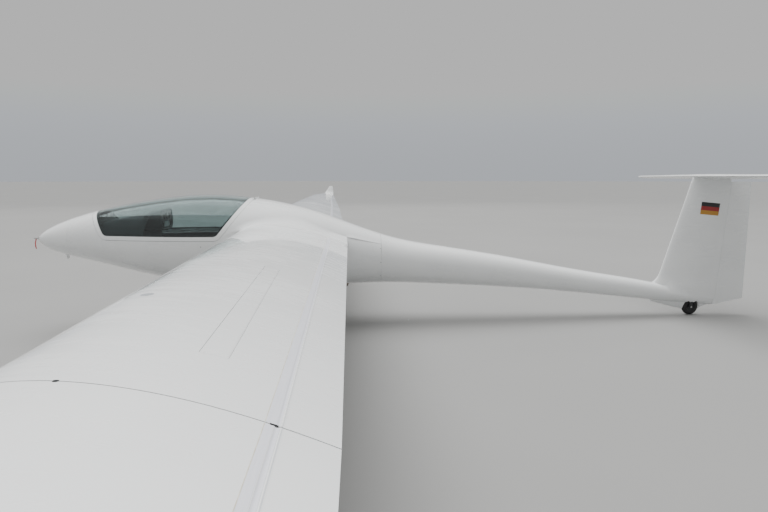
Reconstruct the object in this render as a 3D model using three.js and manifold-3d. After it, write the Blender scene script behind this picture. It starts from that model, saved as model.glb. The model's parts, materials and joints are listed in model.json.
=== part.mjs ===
// Two-seat, side-by-side touring sailplane, parked on its two main wheels and its tail wheel.
// Millimetres. X runs aft, Y to starboard, Z up from the ground. All tables below give X as the
// station behind the tip of the nose; the whole group is shifted at the end, so that the part's
// origin lies on the ground under the middle of its length.
import * as THREE from 'three';
import { mergeVertices } from 'three/addons/utils/BufferGeometryUtils.js';
import Module from 'manifold-3d';

const wasm = await Module();
wasm.setup();

// Driving dimensions
const LENGTH = 8434;              // tip of the nose to the rudder's trailing edge
const HALF_SPAN = 12500;          // centre line to the outside of a winglet
const PITOT_REACH = 60;           // how far the pitot tube stands ahead of the nose
const MIDDLE = (LENGTH - PITOT_REACH) / 2;
const GAP = 6;                    // running clearance around everything that turns or slides
const SEAT = 0.3;                 // clearance between pieces that rest on each other
const SKIN = 20;                  // wall of the hollow fuselage shell
const ROUND = 2.25;               // exponent of the fuselage's superellipse sections

// Fuselage stations: [x, belly z, top z, half width, z of the widest line]
const FUSELAGE = [
  [0, 1026, 1026, 0, 1026],
  [30, 972, 1073, 58, 1024],
  [130, 908, 1142, 122, 1020],
  [360, 832, 1243, 212, 1010],
  [650, 764, 1331, 312, 1000],
  [1000, 677, 1409, 420, 990],
  [1400, 581, 1473, 520, 975],
  [1850, 503, 1510, 588, 955],
  [2300, 463, 1486, 588, 925],
  [2750, 452, 1413, 525, 885],
  [3200, 462, 1287, 425, 840],
  [3600, 475, 1138, 330, 785],
  [4000, 473, 1008, 262, 735],
  [4600, 443, 893, 215, 665],
  [5400, 390, 757, 178, 573],
  [6300, 305, 583, 138, 445],
  [7200, 203, 425, 104, 314],
  [8040, 117, 235, 36, 176],
];
const NOSE_SEAM = 400;            // nose cone to front fuselage
const BOOM_SEAM = 3840;           // front fuselage to tail boom
const TAIL_END = 8040;

// Wing stations: [y, leading edge x, trailing edge x, trailing edge z, incidence in degrees,
// thickness factor]
const WING = [
  [600, 2330, 3450, 988, 7.0, 0.95],
  [5240, 2470, 3370, 1054, 8.0, 1.0],
  [9500, 2600, 3240, 1116, 7.0, 0.9],
  [12200, 2830, 3160, 1155, 5.5, 0.8],
];
const UPPER = [0.28, 0.29, 0.31, 0.29];      // wing section: class-shape coefficients, upper side
const LOWER = [-0.14, -0.11, -0.07, -0.02];  // and lower side
const PANEL_JOINT = WING[1][0];
const FLAP_HINGE_X = [3273, 3226];           // at the wing root and at the panel joint
const AILERON = { inner: 5264, outer: 11900, hingeX: [3226, 3093] };
const FLAP = { inner: 606, outer: 5216 };
const TIE_DOWN = { x: 2760, y: 4900, z: 1082, padRadius: 30, depth: 60 };
// Airbrake: front and rear at its inner end; both edges run aft by `slant` per mm outboard
const BRAKE = {
  front: 2937, rear: 3016, slant: 0.016, inner: 3250, outer: 4905, cap: 12, blade: 10,
};

// Tail
const FIN = { baseZ: 300, topZ: 1720, leadBase: 7251, leadTop: 7665, section: 0.13 };
const RUDDER = {
  hingeLow: [8040, 120], hingeTop: [8153, 1655], radiusLow: 43.5, radiusTop: 28.5,
  trailLow: [8434, 198], trailTop: [8421, 1655], heel: 128, top: 1655, lugs: [330, 1300],
};
const STABILIZER = {
  z: 1708, rootLead: 7660, rootTrail: 8250, tipLead: 7780, tipTrail: 8150, halfSpan: 1550,
  hingeX: 8060, tilt: 2.5, section: 0.13,
};

// Canopy outline in side view: front and rear lines and the level lower edge of the glass
const CANOPY = {
  frontTop: [700, 1332], frontLow: [845, 1085], rearLow: [2068, 1085], rearTop: [2374, 1490],
  corner: 70, rim: 45, frame: 24, glass: 6,
};
const CANOPY_HINGE = { x: 2421, z: 1475, rod: 4, knuckle: 8, inner: 60, outer: 140 };

// Wheels
const MAIN = { x: 2480, y: 575, radius: 180, width: 126, bead: 96, axle: 16 };
const TAILWHEEL = { x: 7743, radius: 100, width: 50, bead: 52, swing: 25 };

// Materials
const paint = { color: 0xf3f4f3, roughness: 0.18, metalness: 0 };
const MATERIALS = {
  white: new THREE.MeshStandardMaterial(paint),
  glass: new THREE.MeshStandardMaterial({
    color: 0x5e7a78, roughness: 0.03, metalness: 0, transparent: true, opacity: 0.4,
  }),
  trim: new THREE.MeshStandardMaterial({ color: 0x23272b, roughness: 0.6, metalness: 0 }),
  fabric: new THREE.MeshStandardMaterial({ color: 0x3a3f45, roughness: 0.9, metalness: 0 }),
  steel: new THREE.MeshStandardMaterial({ color: 0x9a9da0, roughness: 0.4, metalness: 1 }),
  engine: new THREE.MeshStandardMaterial({ color: 0x6c6f72, roughness: 0.55, metalness: 1 }),
  rubber: new THREE.MeshStandardMaterial({ color: 0x17181a, roughness: 0.85, metalness: 0 }),
  red: new THREE.MeshStandardMaterial({ color: 0xc43a2c, roughness: 0.8, metalness: 0 }),
};

// Small maths helpers
const radians = (degrees) => (degrees * Math.PI) / 180;
const mix = (a, b, t) => a + (b - a) * t;
const range = (count) => Array.from({ length: count }, (_, i) => i);
const mixPoint = (a, b, t) => a.map((value, k) => mix(value, b[k], t));

// Natural cubic spline through (xs, ys)
function spline(xs, ys) {
  const n = xs.length;
  const h = range(n - 1).map((i) => xs[i + 1] - xs[i]);
  const upper = new Array(n).fill(0);
  const bend = new Array(n).fill(0);
  for (let i = 1; i < n - 1; i++) {
    const pull = 6 * ((ys[i + 1] - ys[i]) / h[i] - (ys[i] - ys[i - 1]) / h[i - 1]);
    const pivot = 2 * (h[i - 1] + h[i]) - h[i - 1] * upper[i - 1];
    upper[i] = h[i] / pivot;
    bend[i] = (pull - h[i - 1] * bend[i - 1]) / pivot;
  }
  for (let i = n - 2; i > 0; i--) bend[i] -= upper[i] * bend[i + 1];
  return (x) => {
    let i = 0;
    while (i < n - 2 && x > xs[i + 1]) i++;
    const a = xs[i + 1] - x;
    const b = x - xs[i];
    const cubic = (bend[i] * a ** 3 + bend[i + 1] * b ** 3) / (6 * h[i]);
    const left = ys[i] / h[i] - (bend[i] * h[i]) / 6;
    const right = ys[i + 1] / h[i] - (bend[i + 1] * h[i]) / 6;
    return cubic + left * a + right * b;
  };
}

// Closed solid through rings of points that all run the same way round, with flat ends
function loft(rings) {
  const count = rings[0].length;
  const position = rings.flat(2);
  const index = [];
  for (let r = 0; r < rings.length - 1; r++) {
    for (let k = 0; k < count; k++) {
      const a = r * count + k;
      const b = r * count + ((k + 1) % count);
      index.push(a, b, a + count, b, b + count, a + count);
    }
  }
  const cap = (ring, start, flip) => {
    const flat = flatten(ring);
    const turned = THREE.ShapeUtils.area(flat) < 0;
    for (const [a, b, c] of THREE.ShapeUtils.triangulateShape(flat, [])) {
      if (flip !== turned) index.push(start + a, start + c, start + b);
      else index.push(start + a, start + b, start + c);
    }
  };
  cap(rings[0], 0, true);
  cap(rings[rings.length - 1], (rings.length - 1) * count, false);
  return fromTriangles(position, index);
}

// A planar ring of 3-D points seen along its own normal, wound as the ring is
function flatten(ring) {
  const points = ring.map((p) => new THREE.Vector3(...p));
  const normal = new THREE.Vector3();
  for (let i = 0; i < points.length; i++) {
    normal.add(new THREE.Vector3().crossVectors(points[i], points[(i + 1) % points.length]));
  }
  normal.normalize();
  const across = new THREE.Vector3(normal.y, normal.z, normal.x).cross(normal).normalize();
  const along = new THREE.Vector3().crossVectors(normal, across);
  return points.map((p) => new THREE.Vector2(p.dot(across), p.dot(along)));
}

// Triangles to a manifold-3d solid, turned the right way out
function fromTriangles(position, index) {
  const geometry = new THREE.BufferGeometry();
  geometry.setAttribute('position', new THREE.Float32BufferAttribute(position, 3));
  geometry.setIndex(index);
  return toSolid(geometry);
}

function toSolid(geometry) {
  const bare = geometry.clone();
  for (const name of Object.keys(bare.attributes)) if (name !== 'position') bare.deleteAttribute(name);
  const merged = mergeVertices(bare, 1e-3);
  const triVerts = new Uint32Array(merged.index.array);
  const vertProperties = merged.attributes.position.array;
  let volume = 0;
  const at = (i) => new THREE.Vector3(...vertProperties.subarray(3 * i, 3 * i + 3));
  for (let i = 0; i < triVerts.length; i += 3) {
    volume += at(triVerts[i]).dot(at(triVerts[i + 1]).cross(at(triVerts[i + 2])));
  }
  if (volume < 0) {
    for (let i = 0; i < triVerts.length; i += 3) {
      [triVerts[i], triVerts[i + 1]] = [triVerts[i + 1], triVerts[i]];
    }
  }
  return new wasm.Manifold(new wasm.Mesh({ numProp: 3, vertProperties, triVerts }));
}

function toGeometry(solid) {
  const { vertProperties, triVerts } = solid.getMesh();
  const geometry = new THREE.BufferGeometry();
  geometry.setAttribute('position', new THREE.BufferAttribute(vertProperties, 3));
  geometry.setIndex(new THREE.BufferAttribute(triVerts, 1));
  return geometry;
}

const join = (first, ...others) => others.reduce((sum, solid) => sum.add(solid), first);
const cut = (first, ...others) => others.reduce((rest, solid) => rest.subtract(solid), first);
const common = (first, ...others) => others.reduce((rest, solid) => rest.intersect(solid), first);
const bigger = (one, other) => (other.volume() > one.volume() ? other : one);
const largest = (solid) => solid.decompose().reduce(bigger);
const mirrored = (solid) => solid.mirror([0, 1, 0]);

// Corner radius of a many-sided bore whose flats clear a pin of radius `r` by SEAT
const bored = (r, sides) => (r + SEAT) / Math.cos(Math.PI / sides);
const PIN_SIDES = 12;

const moved = (solid, x, y, z) => solid.translate([x, y, z]);

// Box between two corners
function box(low, high) {
  const size = high.map((value, k) => value - low[k]);
  const geometry = new THREE.BoxGeometry(...size);
  return moved(toSolid(geometry), ...low.map((value, k) => value + size[k] / 2));
}

// Round bar or cone between two points
function bar(from, to, radius, endRadius = radius, sides = 20) {
  const start = new THREE.Vector3(...from);
  const run = new THREE.Vector3(...to).sub(start);
  const geometry = new THREE.CylinderGeometry(endRadius, radius, run.length(), sides);
  geometry.translate(0, run.length() / 2, 0);
  const upright = new THREE.Vector3(0, 1, 0);
  geometry.applyQuaternion(new THREE.Quaternion().setFromUnitVectors(upright, run.clone().normalize()));
  geometry.translate(...from);
  return toSolid(geometry);
}

// Side-view outline of [x, z] points, extruded between two y values
function slab(outline, y0, y1) {
  return loft([outline.map(([x, z]) => [x, y0, z]), outline.map(([x, z]) => [x, y1, z])]);
}

// Outline with its corners rounded: each entry is [x, z] or [x, z, radius]
function rounded(corners, steps = 5) {
  const result = [];
  corners.forEach(([x, z, radius = 0], i) => {
    if (!radius) {
      result.push([x, z]);
      return;
    }
    const corner = new THREE.Vector2(x, z);
    const before = new THREE.Vector2(...corners.at(i - 1).slice(0, 2)).sub(corner).normalize();
    const after = new THREE.Vector2(...corners[(i + 1) % corners.length].slice(0, 2)).sub(corner).normalize();
    const half = Math.acos(before.dot(after)) / 2;
    const back = radius / Math.tan(half);
    const start = corner.clone().addScaledVector(before, back);
    const end = corner.clone().addScaledVector(after, back);
    const curve = new THREE.QuadraticBezierCurve(start, corner, end);
    for (const point of curve.getPoints(steps)) result.push([point.x, point.y]);
  });
  return result;
}

// Fuselage body. The splines run over the square root of the station, which rounds the nose.
const reach = FUSELAGE.map(([x]) => Math.sqrt(x));
const [bellyAt, topAt, halfWidthAt, wideAt] = [1, 2, 3, 4].map((column) => {
  const curve = spline(reach, FUSELAGE.map((row) => row[column]));
  return (x) => curve(Math.sqrt(Math.max(x, 0)));
});

// Ring of the section at station x, drawn in by `inset` on every side
function fuselageRing(x, inset, sides = 24) {
  const wide = wideAt(x);
  return range(sides).map((k) => {
    const angle = (2 * Math.PI * (k + 0.5)) / sides;
    const c = Math.cos(angle);
    const s = Math.sin(angle);
    const rise = (s > 0 ? topAt(x) - wide : wide - bellyAt(x)) - inset;
    const y = (halfWidthAt(x) - inset) * Math.sign(c) * Math.abs(c) ** (2 / ROUND);
    return [x, y, wide + rise * Math.sign(s) * Math.abs(s) ** (2 / ROUND)];
  });
}

function fuselageBody(from, to, inset, pieces) {
  return loft(range(pieces + 1).map((i) => fuselageRing(mix(from, to, i / pieces), inset)));
}

function noseCone(inset) {
  const steps = 6;
  const tip = [inset, 0, FUSELAGE[0][1]];
  const rings = range(steps).map((i) => fuselageRing(NOSE_SEAM * ((i + 1) / steps) ** 2, inset));
  const position = [tip, ...rings.flat()].flat();
  const count = rings[0].length;
  const index = [];
  for (const k of range(count)) {
    const next = (k + 1) % count;
    index.push(0, 1 + k, 1 + next);
    for (const r of range(steps - 1)) {
      const a = 1 + r * count;
      index.push(a + k, a + count + k, a + next, a + next, a + count + k, a + count + next);
    }
    const last = 1 + (steps - 1) * count;
    if (k > 0 && k < count - 1) index.push(last, last + next, last + k);
  }
  return fromTriangles(position, index);
}

// Wing section by the class-shape method: height = sqrt(u) (1 - u) S(u), as a share of the chord
function bernstein(coefficients, u) {
  const [a, b, c, d] = coefficients;
  return a * (1 - u) ** 3 + 3 * b * u * (1 - u) ** 2 + 3 * c * u * u * (1 - u) + d * u ** 3;
}
const sectionHeight = (coefficients, u) => Math.sqrt(u) * (1 - u) * bernstein(coefficients, u);

// Points [u, height] once round a section, from the trailing edge over the top and back below
function sectionLoop(upper, lower, steps = 11) {
  const share = range(steps + 1).map((i) => (1 - Math.cos((Math.PI * i) / steps)) / 2);
  const over = share.slice().reverse().map((u) => [u, sectionHeight(upper, u)]);
  const under = share.slice(1, -1).map((u) => [u, sectionHeight(lower, u)]);
  const blunt = 0.0012;             // half thickness of the trailing edge
  over[0] = [1, blunt];
  return [...over, ...under, [1, -blunt]];
}

// A wing row at span position y, mixed between the table's rows
function wingRow(y) {
  const i = y <= PANEL_JOINT ? 0 : y <= WING[2][0] ? 1 : 2;
  return mixPoint(WING[i], WING[i + 1], (y - WING[i][0]) / (WING[i + 1][0] - WING[i][0]));
}

// Ring of a wing-like section: chord from `lead` to `trail`, each [x, z], at span position y
function wingRing(y, lead, trail, factor, loop) {
  const along = [trail[0] - lead[0], trail[1] - lead[1]];
  return loop.map(([u, h]) => [
    lead[0] + along[0] * u - along[1] * h * factor,
    y,
    lead[1] + along[1] * u + along[0] * h * factor,
  ]);
}

function wingRingAt(y) {
  const [, leadX, trailX, trailZ, incidence, factor] = wingRow(y);
  const leadZ = trailZ + (trailX - leadX) * Math.tan(radians(incidence));
  return wingRing(y, [leadX, leadZ], [trailX, trailZ], factor, sectionLoop(UPPER, LOWER));
}

// Upper and lower surface heights of the wing at [x, y]
function wingHeights(x, y) {
  const [, leadX, trailX, trailZ, incidence, factor] = wingRow(y);
  const chord = trailX - leadX;
  const u = (x - leadX) / chord;
  const line = trailZ + (trailX - x) * Math.tan(radians(incidence));
  return [UPPER, LOWER].map((side) => line + sectionHeight(side, u) * factor * chord);
}

// Hinge of a flap or aileron: end points on the section's middle line, and half the thickness there
function surfaceHinge(inner, outer, hingeX, tableEnds) {
  const at = (y) => {
    const x = mix(hingeX[0], hingeX[1], (y - tableEnds[0]) / (tableEnds[1] - tableEnds[0]));
    const [over, under] = wingHeights(x, y);
    return { point: [x, y, (over + under) / 2], radius: (over - under) / 2 };
  };
  return [at(inner), at(outer)];
}

// Splits a control surface off a wing: the surface gets a round nose, and the wing a cove around it
function splitSurface(wing, hinge, inner, outer) {
  const [a, b] = hinge;
  const behind = (y0, y1) => {
    const line = (y) => mixPoint(a.point, b.point, (y - a.point[1]) / (b.point[1] - a.point[1]));
    const ring = (y) => {
      const [x, , z] = line(y);
      return [[x, y, z - 300], [x + 900, y, z - 300], [x + 900, y, z + 300], [x, y, z + 300]];
    };
    return loft([ring(y0), ring(y1)]);
  };
  const extend = (by) => {
    const step = by / (b.point[1] - a.point[1]);
    return [mixPoint(a.point, b.point, -step), mixPoint(a.point, b.point, 1 + step)];
  };
  const [coveStart, coveEnd] = extend(GAP);
  const nose = bar(a.point, b.point, a.radius, b.radius, 20);
  const cove = bar(coveStart, coveEnd, a.radius + GAP, b.radius + GAP, 20);
  const ends = box([2000, inner, 500], [4000, outer, 1900]);
  const surface = common(join(common(wing, behind(inner, outer)), nose), ends);
  const { pins, bores } = endPins(a.point, b.point, 17, 5);
  const fixed = cut(wing, behind(inner - GAP, outer + GAP), cove, bores);
  return { surface: join(surface, pins), wing: fixed, bores };
}

// Hinge pins out of both ends of a surface that turns about the line from `a` to `b`, and the
// bores they run in
function endPins(a, b, length, radius) {
  const whole = new THREE.Vector3(...a).distanceTo(new THREE.Vector3(...b));
  const pin = (size, reach) => {
    const share = reach / whole;
    return bar(mixPoint(a, b, -share), mixPoint(a, b, 1 + share), size, size, PIN_SIDES);
  };
  return { pins: pin(radius, length), bores: pin(bored(radius, PIN_SIDES), length + SEAT) };
}

// Inner wing panel with its flap and two-stage airbrake
function innerWing() {
  const full = loft([wingRingAt(WING[0][0] + SEAT), wingRingAt(PANEL_JOINT - SEAT)]);
  const hinge = surfaceHinge(FLAP.inner, FLAP.outer, FLAP_HINGE_X, [WING[0][0], PANEL_JOINT]);
  const { surface: flap, wing, bores } = splitSurface(full, hinge, FLAP.inner, FLAP.outer);

  const { front, rear, slant, inner, outer, cap, blade } = BRAKE;
  const aft = (y) => (y - inner) * slant;
  const slantedBox = ([x0, y0, z0], [x1, y1, z1]) => loft([y0, y1].map((y) => [
    [x0 + aft(y), y, z0], [x1 + aft(y), y, z0], [x1 + aft(y), y, z1], [x0 + aft(y), y, z1],
  ]));
  const low = Math.max(wingHeights(rear, inner)[1], wingHeights(rear + aft(outer), outer)[1]) + 14;
  const pocket = slantedBox([front - GAP, inner - GAP, low], [rear + GAP, outer + GAP, 1400]);
  const opening = slantedBox([front, inner, low], [rear, outer, 1400]);
  const lid = cut(common(full, opening), moved(full, 0, 0, -cap));
  const middle = (front + rear) / 2;
  const tops = [inner, outer].map((y) => wingHeights(middle + aft(y), y)[0]);
  const height = Math.min(...tops) - cap / 2;
  const upright = (from, short, top) => slantedBox(
    [from, inner + short, low + SEAT],
    [from + blade, outer - short, top],
  );
  const upperBlade = upright(middle - GAP - blade, 20, height);
  const lowerBlade = upright(middle + 1, 40, height - cap - GAP);

  // Pad for a tie-down ring, on the lower side beside the panel joint
  const { x, y, z, padRadius, depth } = TIE_DOWN;
  const pad = bar([x, y, z], [x, y, z + depth], padRadius);
  const panel = join(largest(cut(wing, pocket)), pad);
  return { panel, flap, bores, brakeCap: join(lid, upperBlade), brakeBlade: lowerBlade };
}

function outerWing() {
  const rows = [PANEL_JOINT + SEAT, WING[2][0], WING[3][0] - SEAT];
  const full = loft(rows.map(wingRingAt));
  const hinge = surfaceHinge(AILERON.inner, AILERON.outer, AILERON.hingeX, [PANEL_JOINT, AILERON.outer]);
  const { surface: aileron, wing } = splitSurface(full, hinge, AILERON.inner, AILERON.outer);
  return { panel: largest(wing), aileron };
}

// Winglet: the tip section carried round a quarter bend and up. Each row is
// [y, rise above the wing tip, leading edge x, trailing edge x, lean from flat in degrees].
function winglet() {
  const [tipY, tipLead, tipTrail, tipZ, incidence] = WING[3];
  const rise = (tipTrail - tipLead) * Math.tan(radians(incidence));
  const topY = HALF_SPAN - 8;
  const rows = [
    [tipY, 0, tipLead, tipTrail, 0],
    [tipY + 90, 8, 2858, 3160, 18],
    [tipY + 165, 34, 2890, 3160, 38],
    [tipY + 215, 82, 2922, 3158, 58],
    [tipY + 245, 140, 2954, 3154, 72],
    [topY, 270, 3035, 3145, 78],
  ];
  const loop = sectionLoop(UPPER, LOWER, 9);
  const rings = rows.map(([y, up, lead, trail, lean]) => {
    const chord = trail - lead;
    const share = chord / (tipTrail - tipLead);
    return loop.map(([u, h]) => {
      const height = h * chord * WING[3][5] + (1 - u) * rise * share;
      const turn = radians(lean);
      return [mix(lead, trail, u), y - height * Math.sin(turn), tipZ + up + height * Math.cos(turn)];
    });
  });
  return loft(rings);
}

// Fairing between the wing root and the fuselage: the root section swells as it runs inwards
function rootFairing() {
  const { panel } = ROOT;
  const swollen = panel.map(([x, y, z], k) => {
    const [u, h] = ROOT.loop[k];
    const upper = k < ROOT.loop.length / 2;
    const inX = mix(2130, 3905, u ** 1.02);
    const arch = upper ? 330 * Math.sqrt(u) * (1 - u) ** 0.8 : -430 * Math.sqrt(u) * (1 - u) ** 0.9;
    const line = mix(1075, 968, u);
    return [inX, 190, line + arch + h * 10];
  });
  const steps = 9;
  const rings = range(steps + 1).map((i) => {
    const t = i / steps;
    return panel.map((point, k) => {
      const target = swollen[k];
      const shares = [t ** 2.3, t, t ** 2.6];
      return point.map((value, axis) => mix(value, target[axis], shares[axis]));
    });
  });
  return loft(rings);
}
const ROOT = { loop: sectionLoop(UPPER, LOWER), panel: wingRingAt(WING[0][0]) };

// Canopy outline grown by `grow` all round, closed far above the top line
function canopyOutline(grow) {
  const { frontTop, frontLow, rearLow, rearTop, corner } = CANOPY;
  const front = new THREE.Vector2(frontLow[0] - frontTop[0], frontLow[1] - frontTop[1]).normalize();
  const rear = new THREE.Vector2(rearTop[0] - rearLow[0], rearTop[1] - rearLow[1]).normalize();
  const low = frontLow[1] - grow;
  const onFront = (z) => frontTop[0] + ((z - frontTop[1]) * front.x) / front.y + grow / front.y;
  const onRear = (z) => rearLow[0] + ((z - rearLow[1]) * rear.x) / rear.y + grow / rear.y;
  const high = 1700;
  const round = corner + grow;
  return rounded([
    [onFront(high), high], [onFront(low), low, round], [onRear(low), low, round], [onRear(high), high],
  ]);
}

const canopyPrism = (grow) => slab(canopyOutline(grow), -900, 900);

// Rod on the shell's edge, in two knuckles on the frame's rear edge
function canopyHinge() {
  const { x, z, rod, knuckle, inner, outer } = CANOPY_HINGE;
  const across = (from, to, radius) => bar([x, from, z], [x, to, z], radius, radius, 16);
  const sides = (make) => join(make(1), make(-1));
  const boreRadius = bored(rod, 16);
  const bore = sides((side) => across(side * (inner - 9), side * (outer + 19), boreRadius));
  const eyes = sides((side) => across(side * inner, side * outer, knuckle));
  const straps = sides((side) => box(
    [x - 30, Math.min(side * inner, side * outer), z - 12],
    [x, Math.max(side * inner, side * outer), z - 3],
  ));
  return {
    shellRoom: sides((side) => across(side * (inner - 6), side * (outer + 6), knuckle + 5)),
    frameRoom: across(GAP - inner, inner - GAP, knuckle + 6),
    shellPart: join(
      across(-outer - 10, outer + 10, rod),
      across(3 - inner, inner - 3, knuckle),
      box([x, 3 - inner, z - 12], [x + 40, inner - 3, z - 3]),
    ),
    framePart: cut(join(eyes, straps), bore),
  };
}

function canopyPieces(body, inner) {
  const { rim, glass } = CANOPY;
  const frame = cut(common(cut(body, inner(CANOPY.frame)), canopyPrism(rim)), canopyPrism(0));
  const pane = common(cut(body, inner(glass)), canopyPrism(-SEAT));
  return { frame, pane };
}

// Wheel wells in the belly, and the doors that hang beside them
const WELL = { front: 2200, rear: 2740, inner: 45, outer: 385 };

// Belly panel swung down about the well's inner edge
function gearDoor(body, inset) {
  const { front, rear, inner, outer } = WELL;
  const opening = box([front + 5, inner + 2, 300], [rear - 5, outer - 5, 700]);
  const panel = common(cut(body, inset(12)), opening);
  const low = panel.boundingBox().min[2];
  const hanging = moved(panel, 0, -inner - 2, -low).rotate([-90, 0, 0]);
  return moved(hanging, 0, inner + SEAT, low + 16);
}

// Main gear leg: trunnion, tapered leg, knuckle with brake plate and stub axle
function gearLeg() {
  const { x, y, radius } = MAIN;
  const inboard = y - MAIN.width / 2;
  const top = GEAR_FRAME.z;
  const trunnion = bar([x - 90, GEAR_FRAME.pivot, top], [x + 90, GEAR_FRAME.pivot, top], 34, 34, 20);
  const profile = (cy, cz, w, h) => [
    [x - w, cy, cz - h], [x + w, cy, cz - h], [x + w, cy, cz + h], [x - w, cy, cz + h],
  ];
  const beam = loft([
    profile(GEAR_FRAME.pivot, top, 52, 24),
    profile(340, 405, 46, 26),
    profile(inboard - 52, 214, 38, 30),
    profile(inboard - 34, 196, 36, 34),
  ]);
  const knuckle = bar([x, inboard - 62, radius], [x, inboard - 10, radius], 44, 44, 24);
  const plate = bar([x, inboard - 22, radius], [x, inboard - 10, radius], 70, 70, 24);
  const axle = bar([x, inboard - 12, radius], [x, y + 58, radius], MAIN.axle, MAIN.axle, 24);
  const jackPad = box([x - 30, inboard - 66, 100], [x + 30, inboard - 34, 160]);
  return join(beam, trunnion, knuckle, plate, axle, jackPad);
}

// Welded tube frame across the belly, which carries the gear legs and the engine
const GEAR_FRAME = { z: 600, pivot: 150, middle: 2480, half: 125, rearX: 3080, railY: 232 };

function gearFrame(inside) {
  const { z, pivot, middle, half, rearX, railY } = GEAR_FRAME;
  const crossTube = (x) => bar([x, -600, z], [x, 600, z], 26, 26, 12);
  const rail = (y) => bar([middle - half, y, z], [rearX, y, z], 22, 22, 12);
  const sleeve = (y, from, to) => bar([from, y, z], [to, y, z], 34);
  const sleeves = [pivot, -pivot].map((y) => join(
    sleeve(y, middle - half, middle - 90 - SEAT),
    sleeve(y, middle + 90 + SEAT, middle + half),
  ));
  const mounts = box([2640, -railY - 20, z], [3060, railY + 20, z + 40]);
  const crossTubes = [middle - half, middle + half, rearX].map(crossTube);
  const tubes = [...crossTubes, rail(railY), rail(-railY)];
  return common(join(...tubes, ...sleeves, mounts), inside);
}

// Cockpit floor: level from FLOOR_BEND aft, and rising ahead of it with the belly
const FLOOR = 652;
const FLOOR_BEND = 1250;
const FLOOR_THICK = 12;
const FLOOR_RISE = 0.34;           // slope of the floor ahead of the bend
const floorAt = (x) => FLOOR + Math.max(0, FLOOR_BEND - x) * FLOOR_RISE;

function floor(inside) {
  const front = 720;
  const rear = 2140;
  const over = [[front, floorAt(front)], [FLOOR_BEND, FLOOR], [rear, FLOOR]];
  const under = over.slice().reverse().map(([x, z]) => [x, z - FLOOR_THICK]);
  return common(slab([...over, ...under], -700, 700), inside);
}

// Bulkhead behind the seats, leaning back with them
const BULKHEAD = { lowX: 2095, lowZ: 440, highX: 2470, highZ: 1520 };

function bulkhead(inside) {
  const thick = 14;
  const { lowX, lowZ, highX, highZ } = BULKHEAD;
  const outline = [[lowX, lowZ], [lowX + thick, lowZ], [highX + thick, highZ], [highX, highZ]];
  return common(slab(outline, -700, 700), inside);
}

// Seat: reclined shell with a cushioned pan and back, and its headrest
function seat(inside) {
  const profile = rounded([
    [1480, FLOOR + SEAT], [1480, 750, 25], [1540, 765, 40], [1880, 715, 60],
    [2180, 1225, 20], [2235, 1195, 20], [1990, FLOOR + SEAT],
  ], 3);
  const headrest = rounded([[2165, 1212], [2215, 1320, 25], [2262, 1300, 25], [2212, 1190]], 3);
  const y0 = 52;
  const y1 = 470;
  const middle = (y0 + y1) / 2;
  return common(join(slab(profile, y0, y1), slab(headrest, middle - 115, middle + 115)), inside);
}

// Pedestal between the seats with the instrument pod on top
function console() {
  const profile = rounded([
    [1060, floorAt(1060) + SEAT], [1052, 760], [1090, 1090], [1330, 1120], [1370, 900, 60],
    [1560, 800, 60], [1960, 780], [1960, FLOOR + SEAT], [FLOOR_BEND, FLOOR + SEAT],
  ], 3);
  return slab(profile, -44, 44);
}

function instrumentPod() {
  const profile = rounded([
    [1160, 1150, 30], [1190, 1290, 60], [1290, 1352, 40], [1412, 1360, 12],
    [1396, 1122 + SEAT], [1240, 1122 + SEAT],
  ], 4);
  const hood = slab(profile, -215, 215);
  const fold = cut(hood, box([1000, -400, 1100], [1500, -215, 1400]));
  const foot = slab([[1110, 1093], [1330, 1120 + SEAT], [1330, 1180], [1180, 1180]], -60, 60);
  return join(fold, foot);
}

function controlStick() {
  const y = 232;
  return join(
    bar([1430, y, FLOOR + SEAT], [1430, y, FLOOR + 18], 36, 26, 12),
    bar([1430, y, FLOOR + 8], [1405, y, 905], 11, 11, 10),
    bar([1406, y, 885], [1392, y, 990], 19, 16, 10),
  );
}

// Rudder pedals, a pair for each pilot, on a tube across the floor
const PEDAL = { x: 980, near: 84, far: 166, half: 34 };

function rudderPedals() {
  const { x, near, far, half } = PEDAL;
  const base = floorAt(x - 8) + SEAT;
  const pedal = (y) => join(
    box([x - 8, y - half, base + 60], [x + 8, y + half, base + 200]),
    box([x - 8, y - 9, base + 8], [x + 8, y + 9, base + 100]),
  );
  const tube = box([x - 8, near - half, base], [x + 16, far - 5, base + 18]);
  return join(pedal(near), pedal(far), tube);
}

// Vertical fin: horizontal sections, with the leading edge flared into the boom
function finLead(z) {
  const straight = mix(FIN.leadBase, FIN.leadTop, (z - FIN.baseZ) / (FIN.topZ - FIN.baseZ));
  const flare = (560 - Math.min(Math.max(z, 380), 560)) / 180;
  return straight - 110 * flare ** 3;
}

function rudderTrail(z) {
  const { trailLow, trailTop } = RUDDER;
  return mix(trailLow[0], trailTop[0], (z - trailLow[1]) / (trailTop[1] - trailLow[1]));
}

const tailSection = (value) => [value, value, value, value];

// Notch of the elevator behind the rudder: half widths at its floor and mouth, stations behind the hinge
const NOTCH = { half: 38, depth: 62, mouth: 110, end: 230 };

function finAndRudder() {
  const rows = [120, 380, 430, 490, 560, FIN.topZ];
  const loop = sectionLoop(tailSection(FIN.section), tailSection(-FIN.section), 12);
  return loft(rows.map((z) => {
    const lead = finLead(z);
    const chord = rudderTrail(z) - lead;
    return loop.map(([u, h]) => [lead + chord * u, h * chord, z]);
  }));
}

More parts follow.
